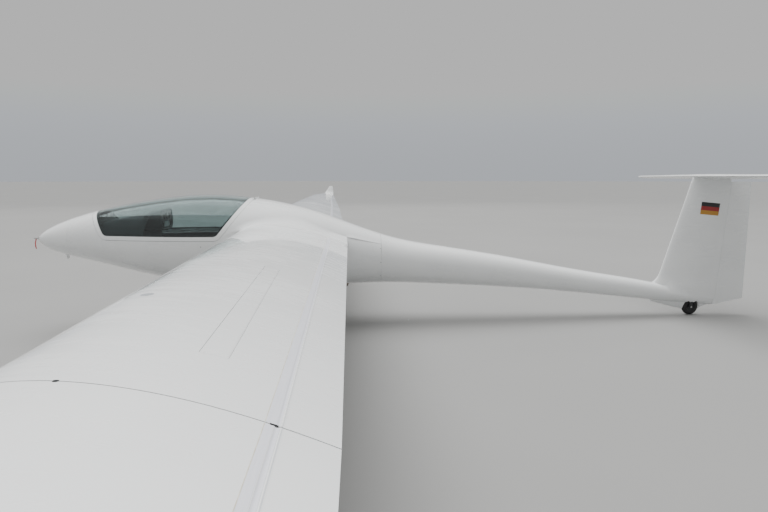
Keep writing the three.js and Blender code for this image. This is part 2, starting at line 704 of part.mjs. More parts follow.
// Hinge lug on the fin's rear face, which stands in a slot of the rudder's nose around a pin
function rudderLug([x, , z], noseRadius) {
  const half = 3;
  const slot = box([x - 80, -70, z - half - GAP], [x + 17, 70, z + half + GAP]);
  const pin = bar([x, 0, z - half - GAP - 4], [x, 0, z + half + GAP + 4], 5, 5, 16);
  const bore = bar([x, 0, z - 20], [x, 0, z + 20], (5 + SEAT) / Math.cos(Math.PI / 16), undefined, 16);
  const eye = bar([x, 0, z - half], [x, 0, z + half], 11, 11, 20);
  const strap = box([x - noseRadius - GAP - 20, -11, z - half], [x, 11, z + half]);
  return { slot, pin, lug: cut(join(eye, strap), bore) };
}

function tailPieces(boom) {
  const { hingeLow, hingeTop, radiusLow, radiusTop, heel, top, lugs } = RUDDER;
  const low = [hingeLow[0], 0, hingeLow[1]];
  const high = [hingeTop[0], 0, hingeTop[1]];
  const rise = hingeTop[1] - hingeLow[1];
  const onHinge = (z) => mixPoint(low, high, (z - hingeLow[1]) / rise);
  const radiusAt = (z) => mix(radiusLow, radiusTop, (z - hingeLow[1]) / rise);
  const blade = finAndRudder();
  const wide = (outline) => slab(outline, -300, 300);
  const bodyLine = wide([[6800, 0], [6800, 420], [7300, 330], [8100, 200], [9000, 200], [9000, 0]]);
  const behind = wide([[onHinge(0)[0], 0], [9000, 0], [9000, 2000], [onHinge(2000)[0], 2000]]);
  const column = (grow) => bar(onHinge(60), onHinge(1800), radiusAt(60) + grow, radiusAt(1800) + grow);
  const foot = wide([[7900, 0], [7900, heel], [8085, heel], RUDDER.trailLow, [9000, 300], [9000, 0]]);
  const above = wide([[7000, top], [9000, top], [9000, 2000], [7000, 2000]]);
  const finTop = wide([[8024, 1690], [8110, top - 6], [9000, top - 6], [9000, 2000], [8024, 2000]]);
  const parts = lugs.map((z) => rudderLug(onHinge(z), radiusAt(z)));
  const clipped = cut(join(common(blade, behind), column(0)), foot, above);
  const rudder = join(cut(clipped, ...parts.map((part) => part.slot)), ...parts.map((part) => part.pin));
  const fixed = cut(join(boom, cut(blade, bodyLine)), behind, column(GAP), finTop);
  return { fixed: join(fixed, ...parts.map((part) => part.lug)), rudder };
}

// Stabilizer, and an elevator of two halves on a middle strip that leaves room for the rudder
function stabilizerPieces() {
  const { z, rootLead, rootTrail, tipLead, tipTrail, halfSpan, hingeX, tilt, section } = STABILIZER;
  const loop = sectionLoop(tailSection(section), tailSection(-section), 12);
  const chordZ = (x) => z + (hingeX - x) * Math.tan(radians(tilt));
  const ring = (y, lead, trail) => wingRing(y, [lead, chordZ(lead)], [trail, chordZ(trail)], 1, loop);
  const share = 0.94;               // of the half span, where the rounding of the tip begins
  const tipRound = [tipLead + 45, tipTrail - 12];
  const shoulder = [mix(rootLead, tipLead, share), mix(rootTrail, tipTrail, share)];
  const full = loft([
    ring(-halfSpan, ...tipRound),
    ring(-halfSpan * share, ...shoulder),
    ring(0, rootLead, rootTrail),
    ring(halfSpan * share, ...shoulder),
    ring(halfSpan, ...tipRound),
  ]);
  const end = halfSpan * share - 10;
  const radiusAt = (lead, trail) => {
    const chord = trail - lead;
    return sectionHeight(tailSection(section), (hingeX - lead) / chord) * chord;
  };
  const rootRadius = radiusAt(rootLead, rootTrail);
  const endRadius = radiusAt(...shoulder);
  const half = (grow, reachY) => join(
    bar([hingeX, 0, z], [hingeX, reachY, z], rootRadius + grow, endRadius + grow),
    bar([hingeX, 0, z], [hingeX, -reachY, z], rootRadius + grow, endRadius + grow),
  );
  const behind = (reachY) => box([hingeX, -reachY, z - 300], [hingeX + 900, reachY, z + 300]);
  const { half: middle, depth, mouth, end: rear } = NOTCH;
  const notch = loft([z - 300, z + 300].map((level) => [
    [hingeX + depth, -middle, level], [hingeX + rear, -mouth, level],
    [hingeX + rear, mouth, level], [hingeX + depth, middle, level],
  ]));
  const { pins, bores } = endPins([hingeX, -end, z], [hingeX, end, z], 17, 4);
  const elevator = join(cut(join(common(full, behind(end)), half(0, end)), notch), pins);
  const fixed = cut(full, behind(end + GAP), half(GAP, end + GAP), bores);
  const zone = (from, to) => box([hingeX - 300, from, z - 300], [hingeX + 900, to, z + 300]);
  return {
    fixed,
    strip: common(elevator, zone(-middle, middle)),
    elevator: common(elevator, zone(middle + SEAT, halfSpan)),
  };
}

// Tyre and rim as turned bodies about the axle, which runs along Y
function turned(profile, sides, x, y, z) {
  const points = profile.map(([r, w]) => new THREE.Vector2(r, w));
  points.push(points[0].clone());
  return moved(toSolid(new THREE.LatheGeometry(points, sides)), x, y, z);
}

function tyre({ radius, width, bead }, x, y, sides) {
  const half = width / 2;
  const wall = radius - bead;
  const profile = [
    [bead, -half * 0.62], [bead + wall * 0.4, -half], [bead + wall * 0.85, -half * 0.78],
    [radius, -half * 0.36], [radius, half * 0.36],
    [bead + wall * 0.85, half * 0.78], [bead + wall * 0.4, half], [bead, half * 0.62],
  ];
  return turned(profile, sides, x, y, radius);
}

function rim({ radius, width, bead }, x, y, sides, axle) {
  const bore = axle + SEAT / Math.cos(Math.PI / sides);
  const half = width * 0.31;
  const profile = [
    [bore, -half * 0.8], [bore + 12, -half * 0.8], [bead - 12, -half * 0.4], [bead - SEAT * 1.2, -half],
    [bead - SEAT * 1.2, half], [bead - 12, half * 0.4], [bore + 12, half * 0.8], [bore, half * 0.8],
  ];
  return turned(profile, sides, x, y, radius);
}

// Tail wheel: fork that turns about an upright post under the boom, in a recess of the wheel's swept shape
const TAIL_FORK = { cheek: 7, side: 5, crown: 206, plate: 8, post: 12, top: 246, axle: 7 };

function tailFork() {
  const { x, radius, width } = TAILWHEEL;
  const { cheek, side, crown, plate, post, top, axle } = TAIL_FORK;
  const outer = width / 2 + side + cheek;
  const outline = [[x - 22, crown + 2], [x - 20, radius - 14], [x + 20, radius - 14], [x + 22, crown + 2]];
  return join(
    slab(outline, width / 2 + side, outer),
    slab(outline, -outer, -width / 2 - side),
    box([x - 22, -outer, crown], [x + 22, outer, crown + plate]),
    bar([x, 0, crown + 2], [x, 0, top], post, post, 20),
    bar([x, -outer - 6, radius], [x, outer + 6, radius], axle, axle, 20),
  );
}

// What the steered wheel and its fork sweep, with clearance, cut out of the boom and the skegs
function tailRecess() {
  const { x, radius, width, swing } = TAILWHEEL;
  const { cheek, side, crown, plate, post, top } = TAIL_FORK;
  const half = width / 2 + GAP;
  const wheel = moved(bar([0, -half, 0], [0, half, 0], radius + GAP, radius + GAP, 20), 0, 0, radius);
  const turns = [-1, -0.35, 0.35, 1].map((share) => moved(wheel.rotate([0, 0, share * swing]), x, 0, 0));
  const forkReach = Math.hypot(22, width / 2 + side + cheek) + GAP;
  return join(
    ...turns,
    bar([x, 0, 0], [x, 0, crown + plate + GAP], forkReach, forkReach, 20),
    bar([x, 0, 150], [x, 0, top + GAP], (post + SEAT) / Math.cos(Math.PI / 20), undefined, 20),
  );
}

// Skegs ahead of and behind the tail wheel: each row is [x, half width low, low z, half width high, high z]
function tailSkegs() {
  const { x } = TAILWHEEL;
  const rows = [
    [x - 520, 3, 172, 4, 200],
    [x - 300, 16, 120, 30, 200],
    [x - 60, 24, 66, 40, 190],
    [x + 60, 24, 66, 40, 190],
    [x + 215, 4, 122, 12, 170],
  ];
  return loft(rows.map(([at, low, lowZ, high, highZ]) => [
    [at, -low, lowZ], [at, low, lowZ], [at, high, highZ], [at, -high, highZ],
  ]));
}

// Nose fittings
function pitot(grow) {
  const z = FUSELAGE[0][1];
  return join(
    bar([-PITOT_REACH, 0, z], [20 + grow, 0, z], 6 + grow, 6 + grow, 12),
    bar([-14, 0, z], [14 + grow, 0, z], 12 + grow, 17 + grow, 12),
  );
}

// Yaw ribbon, hanging limp from the pitot tube
function ribbon() {
  const z = FUSELAGE[0][1] - 6 - SEAT;
  const strip = [[-44, 0], [-57, -48], [-50, -112]];
  const outline = [...strip, ...strip.slice().reverse().map(([x, drop]) => [x + 12, drop])];
  return slab(outline.map(([x, drop]) => [x, z + drop]), -1.5, 1.5);
}

// Blade aerial under the nose: each row is [front x, rear x, half width, depth below the belly line]
function antenna(body) {
  const rows = [[252, 314, 7, -60], [274, 312, 13, 24], [280, 308, 9, 62]];
  const low = bellyAt(rows[1][0]);
  const blade = loft(rows.map(([front, rear, half, depth]) => {
    const z = low - depth;
    return [[front, -half, z], [rear, -half, z], [rear, half, z], [front, half, z]];
  }));
  return cut(blade, body);
}

// Assembly
const aircraft = new THREE.Group();
aircraft.position.x = -MIDDLE;

function add(name, solid, material) {
  const mesh = new THREE.Mesh(toGeometry(solid), MATERIALS[material]);
  mesh.name = name;
  aircraft.add(mesh);
}

function addPair(name, port, material) {
  add(`${name}_left`, mirrored(port), material);
  add(`${name}_right`, port, material);
}

const bodyIn = (inset) => fuselageBody(NOSE_SEAM - 120, BOOM_SEAM + 120, inset, 14);
const outside = bodyIn(0);
const grown = bodyIn(-SEAT);
const between = (from, to) => box([from, -900, 0], [to, 900, 2000]);

// Fuselage shell: body and root fairings, hollow, with the canopy opening and the wheel wells cut out
const fairing = rootFairing();
const inner = innerWing();
const skinned = join(outside, fairing, mirrored(fairing));
const cavity = common(bodyIn(SKIN), between(NOSE_SEAM + 80, BOOM_SEAM - SKIN));
const well = box([WELL.front, WELL.inner, 0], [WELL.rear, WELL.outer, 640]);
const hinge = canopyHinge();
const opened = cut(
  common(skinned, between(NOSE_SEAM + SEAT, BOOM_SEAM)),
  cavity, canopyPrism(CANOPY.rim + GAP), well, mirrored(well),
  inner.bores, mirrored(inner.bores), hinge.shellRoom,
);
add('nose_cone', cut(noseCone(0), pitot(SEAT)), 'white');
add('fuselage_shell', join(opened, hinge.shellPart), 'white');

// Inner pieces are trimmed to the cavity, so that they reach the shell's walls
const room = common(bodyIn(SKIN + SEAT), between(NOSE_SEAM + 80 + SEAT, BOOM_SEAM - SKIN - SEAT));
const deck = floor(room);
const wall = cut(bulkhead(room), moved(deck, SEAT, 0, SEAT), moved(deck, SEAT, 0, -SEAT));
const { lowX, lowZ, highX, highZ } = BULKHEAD;
const cabinSide = slab([[500, 300], [lowX - SEAT, lowZ], [highX - SEAT, highZ], [500, 1600]], -900, 900);
add('rear_bulkhead', wall, 'trim');
add('cockpit_floor', common(deck, cabinSide), 'trim');
addPair('seat', seat(common(bodyIn(SKIN + 6), cabinSide)), 'fabric');
add('centre_console', console(), 'trim');
add('instrument_pod', instrumentPod(), 'trim');
addPair('control_stick', controlStick(), 'trim');
addPair('rudder_pedals', rudderPedals(), 'steel');
add('gear_frame', gearFrame(room), 'steel');
add('engine_block', box([2640, -230, 640 + SEAT], [3060, 230, 1010]), 'engine');

// Canopy
const { frame, pane } = canopyPieces(outside, bodyIn);
add('canopy_frame', join(cut(frame, hinge.frameRoom), hinge.framePart), 'white');
add('canopy_glass', pane, 'glass');

// Wings
const outer = outerWing();
addPair('wing_inner', inner.panel, 'white');
addPair('flap', inner.flap, 'white');
addPair('airbrake_cap', inner.brakeCap, 'white');
addPair('airbrake_blade', inner.brakeBlade, 'steel');
addPair('wing_outer', outer.panel, 'white');
addPair('aileron', outer.aileron, 'white');
addPair('winglet', winglet(), 'white');

// Tail
const boomBody = (inset) => fuselageBody(BOOM_SEAM - 60, TAIL_END, inset, 9);
const boom = common(boomBody(0), between(BOOM_SEAM + SEAT, TAIL_END));
const recess = tailRecess();
const tail = tailPieces(boom);
const stab = stabilizerPieces();
const fixedTail = cut(tail.fixed, recess);
add('tail_boom_and_fin', cut(fixedTail, stab.fixed, moved(stab.fixed, 0, 0, -SEAT)), 'white');
add('rudder', tail.rudder, 'white');
const skegs = cut(tailSkegs(), recess, boomBody(-SEAT));
const skegZone = (from, to) => box([from, -90, 0], [to, 90, 300]);
add('tail_skeg_front', common(skegs, skegZone(7000, TAILWHEEL.x)), 'white');
add('tail_skeg_rear', common(skegs, skegZone(TAILWHEEL.x, 8200)), 'white');
add('stabilizer', stab.fixed, 'white');
add('elevator_strip', stab.strip, 'white');
addPair('elevator', stab.elevator, 'white');

// Landing gear
addPair('gear_leg', gearLeg(), 'steel');
addPair('gear_door', gearDoor(outside, bodyIn), 'white');
addPair('main_tyre', tyre(MAIN, MAIN.x, MAIN.y, 24), 'rubber');
addPair('main_rim', rim(MAIN, MAIN.x, MAIN.y, 24, MAIN.axle), 'steel');
add('tail_fork', tailFork(), 'steel');
add('tail_tyre', tyre(TAILWHEEL, TAILWHEEL.x, 0, 20), 'rubber');
add('tail_rim', rim(TAILWHEEL, TAILWHEEL.x, 0, 20, TAIL_FORK.axle), 'steel');

// Small fittings
add('pitot_tube', pitot(0), 'steel');
add('pitot_ribbon', ribbon(), 'red');
add('belly_antenna', antenna(noseCone(-SEAT)), 'white');
add('exhaust_stub', cut(bar([3420, -60, 430], [3475, -60, 500], 16, 16, 12), grown), 'steel');

export default aircraft;
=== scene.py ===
# %% [markdown]
# # A side-by-side touring sailplane, surface by surface
#
# The aircraft stands on two main wheels and a tail wheel: a drop-shaped body with a large canopy,
# a very long thin wing with upturned tips, and a tail with its stabilizer on top of the fin.
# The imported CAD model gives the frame: every piece made here sits in its place, in metres, and
# rides on one of its moving bodies. X runs aft, Y to starboard and Z up from the ground.
#
# A glider is made in moulds, so its skin is one smooth surface that mirrors its surroundings. Flat
# CAD facets show up at once in such a gloss. So each skin is worked out again here as a fine
# grid of points from the same few tables of numbers.

import json
import math

import bmesh
import bpy
import numpy as np
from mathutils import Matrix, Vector

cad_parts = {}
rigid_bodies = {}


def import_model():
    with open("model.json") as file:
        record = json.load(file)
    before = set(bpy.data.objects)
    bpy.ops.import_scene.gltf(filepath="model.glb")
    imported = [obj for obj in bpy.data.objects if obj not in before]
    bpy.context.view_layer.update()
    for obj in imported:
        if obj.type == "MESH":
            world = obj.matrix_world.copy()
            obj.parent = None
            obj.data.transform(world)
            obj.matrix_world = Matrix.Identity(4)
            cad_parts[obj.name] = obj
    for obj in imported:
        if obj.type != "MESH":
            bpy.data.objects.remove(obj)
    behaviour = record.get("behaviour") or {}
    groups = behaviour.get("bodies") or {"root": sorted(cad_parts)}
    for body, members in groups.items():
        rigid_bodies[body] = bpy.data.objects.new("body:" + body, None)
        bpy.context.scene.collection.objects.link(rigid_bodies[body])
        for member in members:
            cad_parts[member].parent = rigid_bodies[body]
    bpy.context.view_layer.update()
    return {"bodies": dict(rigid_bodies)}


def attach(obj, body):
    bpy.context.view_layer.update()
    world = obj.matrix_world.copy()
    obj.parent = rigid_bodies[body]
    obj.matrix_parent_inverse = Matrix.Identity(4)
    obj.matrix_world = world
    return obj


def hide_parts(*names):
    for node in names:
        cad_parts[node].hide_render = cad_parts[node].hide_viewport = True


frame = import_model()
MIDDLE = 4.187  # the origin's distance behind the tip of the nose

# %% [markdown]
# ## Meshes from arrays
#
# A skin is a grid of points: rows run one way over the surface and columns the other, and four
# neighbours make a face. The whole grid goes to Blender in three calls of foreach_set, which is
# many times quicker than adding vertices one by one.
#
# Two builders cover nearly everything. `loft` joins loops of points, such as wing sections, into
# a closed body. `plate` gives a grid a thickness: an outer grid, an inner grid, and a wall
# along every open edge, so that a cut-out in a shell shows how thick the shell is.
# Stations are counted from the tip of the nose and shifted to the frame's origin at the end.

# %% Mesh builders
def between(start, end, share):
    """Value on the straight line from `start` to `end`, and beyond them where the share asks for it."""
    return start + (end - start) * share


def bearings(count):
    """Angles of evenly spaced points round a circle."""
    return np.linspace(0, 2 * np.pi, count, endpoint=False)


def unit(vectors):
    """The same directions, each with a length of one."""
    vectors = np.asarray(vectors, float)
    return vectors / np.maximum(np.linalg.norm(vectors, axis=-1, keepdims=True), 1e-12)


def xyz(x, y, z):
    """Points from three coordinates, each a number, a row, a column or a whole grid."""
    return np.stack(np.broadcast_arrays(x, y, z), axis=-1)


def quads(rows, cols, wrap=False):
    """Corner numbers of a grid's faces: each point, its right neighbour, and the same two a row on."""
    index = np.arange(rows * cols).reshape(rows, cols)
    following = np.roll(index, -1, axis=0) if wrap else index[1:]
    here = index if wrap else index[:-1]
    return np.stack([here[:, :-1], here[:, 1:], following[:, 1:], following[:, :-1]], axis=-1)


def loft(grid, caps=True):
    """Body through closed loops: faces join each loop to the next, and a flat face ends it."""
    loops, count = grid.shape[:2]
    index = np.arange(loops * count).reshape(loops, count)
    turned = np.roll(index, -1, axis=1)
    sides = np.stack([index[:-1], turned[:-1], turned[1:], index[1:]], axis=-1).reshape(-1, 4)
    faces = [sides]
    if caps:
        faces += [index[:1, ::-1], index[-1:]]
    return grid.reshape(-1, 3), faces


def plate(outer, inner, keep=None, wrap=False):
    """Solid between two grids: kept cells on both, and a wall wherever a kept cell has no neighbour."""
    rows, cols = outer.shape[:2]
    cells = quads(rows, cols, wrap)
    keep = np.ones(cells.shape[:2], bool) if keep is None else keep
    before = np.roll(keep, 1, axis=0)
    after = np.roll(keep, -1, axis=0)
    if not wrap:
        before[0] = after[-1] = False
    left = np.pad(keep, ((0, 0), (1, 0)))[:, :-1]
    right = np.pad(keep, ((0, 0), (0, 1)))[:, 1:]
    shift = rows * cols
    walls = []
    for neighbour, first, second in ((before, 0, 1), (right, 1, 2), (after, 2, 3), (left, 3, 0)):
        edge = cells[keep & ~neighbour][:, [second, first]]
        walls.append(np.concatenate([edge, edge[:, ::-1] + shift], axis=1))
    kept = cells[keep]
    points = np.concatenate([outer.reshape(-1, 3), inner.reshape(-1, 3)])
    return points, [kept, kept[:, ::-1] + shift, *walls]


def joined(*parts):
    """One set of points and faces from several."""
    points, faces, start = [], [], 0
    for some_points, some_faces in parts:
        points.append(some_points)
        faces += [np.asarray(group) + start for group in some_faces]
        start += len(some_points)
    return np.concatenate(points), faces


def signed_volume(points, faces):
    """Sum of the tetrahedra between the origin and each face's triangles: positive if faces look out."""
    total = 0.0
    for group in faces:
        for k in range(1, group.shape[1] - 1):
            a, b, c = points[group[:, 0]], points[group[:, k]], points[group[:, k + 1]]
            total += np.einsum("ij,ij->", a, np.cross(b, c))
    return total / 6


def make_mesh(name, points, faces):
    """Mesh from an array of points and arrays of corner numbers, without the points that no face uses."""
    faces = [np.asarray(group) for group in faces if len(group)]
    used = np.unique(np.concatenate([group.ravel() for group in faces]))
    renumber = np.zeros(len(points), int)
    renumber[used] = np.arange(len(used))
    points = points[used]
    corners = np.concatenate([renumber[group].ravel() for group in faces])
    sizes = np.concatenate([np.full(len(group), group.shape[1]) for group in faces])
    mesh = bpy.data.meshes.new(name)
    mesh.vertices.add(len(points))
    mesh.vertices.foreach_set("co", points.astype(np.float32).ravel())
    mesh.loops.add(len(corners))
    mesh.loops.foreach_set("vertex_index", corners.astype(np.int32))
    mesh.polygons.add(len(sizes))
    starts = np.concatenate([[0], np.cumsum(sizes)[:-1]])
    mesh.polygons.foreach_set("loop_start", starts.astype(np.int32))
    mesh.polygons.foreach_set("loop_total", sizes.astype(np.int32))
    mesh.update(calc_edges=True)
    mesh.validate()
    return mesh


def add_object(name, data):
    """New object in the scene."""
    thing = bpy.data.objects.new(name, data)
    bpy.context.scene.collection.objects.link(thing)
    return thing


def evaluated(thing):
    """The object with its modifiers at work."""
    return thing.evaluated_get(bpy.context.evaluated_depsgraph_get())


def shade(mesh, sharp=35):
    """Smooth shading, but for edges that turn by more than `sharp` degrees."""
    mesh.shade_smooth()
    mesh.set_sharp_from_angle(angle=math.radians(sharp))


def piece(name, shape, body, finish, replaces=(), sharp=35, weld=False, turn=True):
    """Object from points and faces, shifted to the frame's origin, that rides on a body."""
    points, faces = shape
    points = np.array(points, float) - [MIDDLE, 0, 0]
    faces = [np.asarray(group) for group in faces if len(group)]
    if turn and signed_volume(points, faces) < 0:
        faces = [group[:, ::-1] for group in faces]
    mesh = make_mesh(name, points, faces)
    if weld:
        work = bmesh.new()
        work.from_mesh(mesh)
        bmesh.ops.remove_doubles(work, verts=work.verts, dist=2e-5)
        work.to_mesh(mesh)
        work.free()
    shade(mesh, sharp)
    thing = add_object(name, mesh)
    finish.put_on(thing)
    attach(thing, body)
    if replaces:
        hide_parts(*replaces)
    return thing


def mirrored(shape):
    """The same shape on the port side; its faces are turned round, so that they look outwards again."""
    points, faces = shape
    return np.asarray(points) * [1, -1, 1], [np.asarray(group)[:, ::-1] for group in faces]


def pair(name, shape, body, finish, replaces=(), **more):
    """A starboard piece and its port mirror image; `body` and `replaces` get _right or _left."""
    things = []
    for side, form in (("right", shape), ("left", mirrored(shape))):
        rider = body if body in frame["bodies"] else f"{body}_{side}"
        nodes = [f"{node}_{side}" for node in replaces]
        things.append(piece(f"{name}_{side}", form, rider, finish, nodes, **more))
    return things


# %% [markdown]
# ## A small kit for materials
#
# A finish is a net of nodes that works out colour and roughness from the place on the surface.
# Written out node by node, such a net hides its own idea. So one class wraps a socket and lets it
# take part in sums: `1 - dirt * 0.2` adds the two Math nodes that say the same. Colours and vectors
# go through Mix nodes, because a Math node would turn a colour grey.

# %% Material kit
class Value:
    """A node's output that takes part in sums; each sum adds a Math node."""

    def __init__(self, net, socket):
        self.net, self.socket = net, socket

    def sum(self, operation, *others):
        sockets = {0: self, **dict(enumerate(others, 1))}
        return self.net.node("ShaderNodeMath", {"operation": operation}, sockets)

    def __add__(self, other):
        return self.sum("ADD", other)

    def __mul__(self, other):
        return self.sum("MULTIPLY", other)

    def __sub__(self, other):
        return self.sum("SUBTRACT", other)

    def __rsub__(self, other):
        return self.sum("MULTIPLY_ADD", -1.0, other)

    def out(self, name):
        """Another output of the same node."""
        return Value(self.net, self.socket.node.outputs[name])


class Finish:
    """A material around one Principled shader, with constants set on its sockets."""

    def __init__(self, name, **constants):
        self.material = bpy.data.materials.new(name)
        self.material.use_nodes = True
        self.tree = self.material.node_tree
        self.shader = self.tree.nodes["Principled BSDF"]
        for key, value in constants.items():
            self.shader.inputs[key.replace("_", " ")].default_value = value

    def node(self, kind, settings=None, sockets=None):
        """A node of any kind: its settings first, then values or links for its sockets."""
        made = self.tree.nodes.new(kind)
        for key, value in (settings or {}).items():
            setattr(made, key, value)
        for key, value in (sockets or {}).items():
            if isinstance(value, Value):
                self.tree.links.new(value.socket, made.inputs[key])
            else:
                made.inputs[key].default_value = value
        outputs = [output for output in made.outputs if output.enabled]
        return Value(self, outputs[0])

    def place(self):
        """The point on the object, in metres."""
        return self.node("ShaderNodeTexCoord").out("Object")

    def stretched(self, place, scale, turn=(0, 0, 0)):
        return self.node("ShaderNodeMapping", {}, {"Vector": place, "Scale": scale, "Rotation": turn})

    def noise(self, place, scale, detail=3.0, rough=0.5):
        sockets = {"Vector": place, "Scale": scale, "Detail": detail, "Roughness": rough}
        return self.node("ShaderNodeTexNoise", {}, sockets)

    def ramp(self, factor, low, high, start=0.0, end=1.0):
        """The factor brought from low..high to start..end, and held there outside it."""
        sockets = {"Value": factor, "From Min": low, "From Max": high, "To Min": start, "To Max": end}
        return self.node("ShaderNodeMapRange", {}, sockets)

    def mix(self, factor, first, second, blend="MIX"):
        """Colour between two colours."""
        settings = {"data_type": "RGBA", "blend_type": blend}
        return self.node("ShaderNodeMix", settings, {0: factor, 6: first, 7: second})

    def feed(self, **links):
        for key, value in links.items():
            self.tree.links.new(value.socket, self.shader.inputs[key.replace("_", " ")])

    def bump(self, height, distance, strength=1.0):
        """Height in shares of `distance` metres, as a bend of the surface's normal."""
        sockets = {"Height": height, "Distance": distance, "Strength": strength}
        self.feed(Normal=self.node("ShaderNodeBump", {}, sockets))

    def put_on(self, thing):
        thing.data.materials.clear()
        thing.data.materials.append(self.material)


def rgb(*parts):
    """Colour with full alpha."""
    return (*parts, 1.0)


def mottled(name, tones, scale, detail=3.0, spread=(0.0, 1.0), along=(1, 1, 1), **constants):
    """Finish whose colour wanders between two tones with one noise, stretched by `along`."""
    finish = Finish(name, **constants)
    cloud = finish.noise(finish.stretched(finish.place(), along), scale, detail)
    finish.feed(Base_Color=finish.mix(finish.ramp(cloud, *spread), *tones))
    return finish


# %% [markdown]
# ## White gelcoat
#
# The skin is a layer of pigmented resin, sanded and polished over a glass-fibre laminate. It is
# bright but never quite even: polish leaves faint streaks along the air flow, the weave below
# telegraphs through as a very slight ripple, and dust makes patches a little duller. A clear coat
# over a slightly rough white base gives the two highlights of real gelcoat, one soft and one sharp.

# %% Gelcoat
WHITE = Finish("white_gelcoat", Roughness=0.28, Coat_Weight=1.0, Coat_Roughness=0.035, IOR=1.5)
place = WHITE.place()
cloud = WHITE.noise(place, 1.7, 4.0, 0.55)
streak = WHITE.noise(WHITE.stretched(place, (1.2, 9.0, 9.0)), 2.2, 5.0, 0.6)
fine = WHITE.noise(place, 46.0, 2.0)
dust = WHITE.ramp(cloud * 0.6 + streak * 0.4, 0.46, 0.66)
warm = WHITE.mix(WHITE.ramp(cloud, 0.35, 0.7), rgb(0.80, 0.815, 0.81), rgb(0.775, 0.795, 0.80))
WHITE.feed(Base_Color=WHITE.mix(dust * 0.35, warm, rgb(0.70, 0.70, 0.68)))
WHITE.feed(Roughness=WHITE.ramp(dust * 0.7 + fine * 0.3, 0.1, 0.9, 0.2, 0.42))
WHITE.feed(Coat_Weight=1 - dust * 0.28)
WHITE.bump(cloud * 0.9 + streak * 0.1, 0.0048, 0.2)

# %% [markdown]
# ## The body's surface
#
# The fuselage is a stretched drop. Its cross-section is a superellipse, an oval with slightly
# squarer shoulders: |y / half width| to the power n plus |height / rise| to the power n is 1.
# Five curves steer it along its length: belly line, top line, half width, and the height of the
# widest line, each a spline through a few stations. The splines run over the square root of the
# station, which turns a smooth curve into a well-rounded nose.

# %% Body surface
FUSELAGE = np.array([  # station, belly, top, half width, height of the widest line
    (0.000, 1.026, 1.026, 0.000, 1.026),
    (0.030, 0.972, 1.073, 0.058, 1.024),
    (0.130, 0.908, 1.142, 0.122, 1.020),
    (0.360, 0.832, 1.243, 0.212, 1.010),
    (0.650, 0.764, 1.331, 0.312, 1.000),
    (1.000, 0.677, 1.409, 0.420, 0.990),
    (1.400, 0.581, 1.473, 0.520, 0.975),
    (1.850, 0.503, 1.510, 0.588, 0.955),
    (2.300, 0.463, 1.486, 0.588, 0.925),
    (2.750, 0.452, 1.413, 0.525, 0.885),
    (3.200, 0.462, 1.287, 0.425, 0.840),
    (3.600, 0.475, 1.138, 0.330, 0.785),
    (4.000, 0.473, 1.008, 0.262, 0.735),
    (4.600, 0.443, 0.893, 0.215, 0.665),
    (5.400, 0.390, 0.757, 0.178, 0.573),
    (6.300, 0.305, 0.583, 0.138, 0.445),
    (7.200, 0.203, 0.425, 0.104, 0.314),
    (8.040, 0.117, 0.235, 0.036, 0.176),
])
ROUND = 2.25  # exponent of the superellipse
NOSE_SEAM = 0.400
BOOM_SEAM = 3.840
TAIL_END = 8.040
SKIN = 0.020


def spline(knots, values):
    """Natural cubic spline: cubics that share slope and bend at every knot, with no bend at the ends."""
    count, step = len(knots), np.diff(knots)
    inside = np.arange(1, count - 1)
    matrix = np.eye(count)
    matrix[inside, inside - 1] = step[:-1]
    matrix[inside, inside] = 2 * (step[:-1] + step[1:])
    matrix[inside, inside + 1] = step[1:]
    pull = np.zeros(count)
    pull[1:-1] = 6 * np.diff(np.diff(values) / step)
    bend = np.linalg.solve(matrix, pull)

    def curve(x):
        i = np.clip(np.searchsorted(knots, x) - 1, 0, count - 2)
        h, before, after = step[i], knots[i + 1] - x, x - knots[i]
        left = values[i] / h - bend[i] * h / 6
        right = values[i + 1] / h - bend[i + 1] * h / 6
        return (bend[i] * before**3 + bend[i + 1] * after**3) / (6 * h) + left * before + right * after

    return curve


def body_line(column):
    curve = spline(np.sqrt(FUSELAGE[:, 0]), FUSELAGE[:, column])
    return lambda x: curve(np.sqrt(np.maximum(x, 0.0)))


belly, crown, half_width, widest = [body_line(column) for column in (1, 2, 3, 4)]


def power(value, exponent):
    """Power that keeps the sign."""
    return np.sign(value) * np.abs(value) ** exponent


def half_height(x, above):
    """Height of the skin over its widest line where `above` is true, and its depth below elsewhere."""
    return np.where(above, crown(x) - widest(x), widest(x) - belly(x))


def body(x, angle, inset=0.0):
    """Point of the skin: the superellipse at station x, `angle` up from the starboard widest line."""
    x, angle = np.broadcast_arrays(np.asarray(x, float), angle)
    up = np.sin(angle)
    rise = half_height(x, up > 0) - inset
    y = (half_width(x) - inset) * power(np.cos(angle), 2 / ROUND)
    return np.stack([x, y, widest(x) + rise * power(up, 2 / ROUND)], axis=-1)


def angle_at_height(x, z):
    """Angle on the starboard side where the skin at station x has height z."""
    rise = half_height(x, z > widest(x))
    share = np.clip(np.abs(z - widest(x)) / np.maximum(rise, 1e-9), 0, 1)
    return np.sign(z - widest(x)) * np.arcsin(share ** (ROUND / 2))


def angle_at_side(x, y):
    """Angle on the lower starboard side where the skin at station x lies y from the middle."""
    return -np.arccos(np.clip(y / half_width(x), 0, 1) ** (ROUND / 2))


def body_normal(x, angle):
    """Outward normal: the cross product of the two slopes, taken over short steps."""
    along = body(x + 1e-4, angle) - body(x - 1e-4, angle)
    around = body(x, angle + 1e-3) - body(x, angle - 1e-3)
    return unit(np.cross(around, along))


print("body: length", TAIL_END, "widest", round(2 * float(half_width(2.05)), 3))

# %% Bars, prisms and turned parts
ASKEW = [0.31, 0.17, 0.93]  # a direction along which no bar here runs


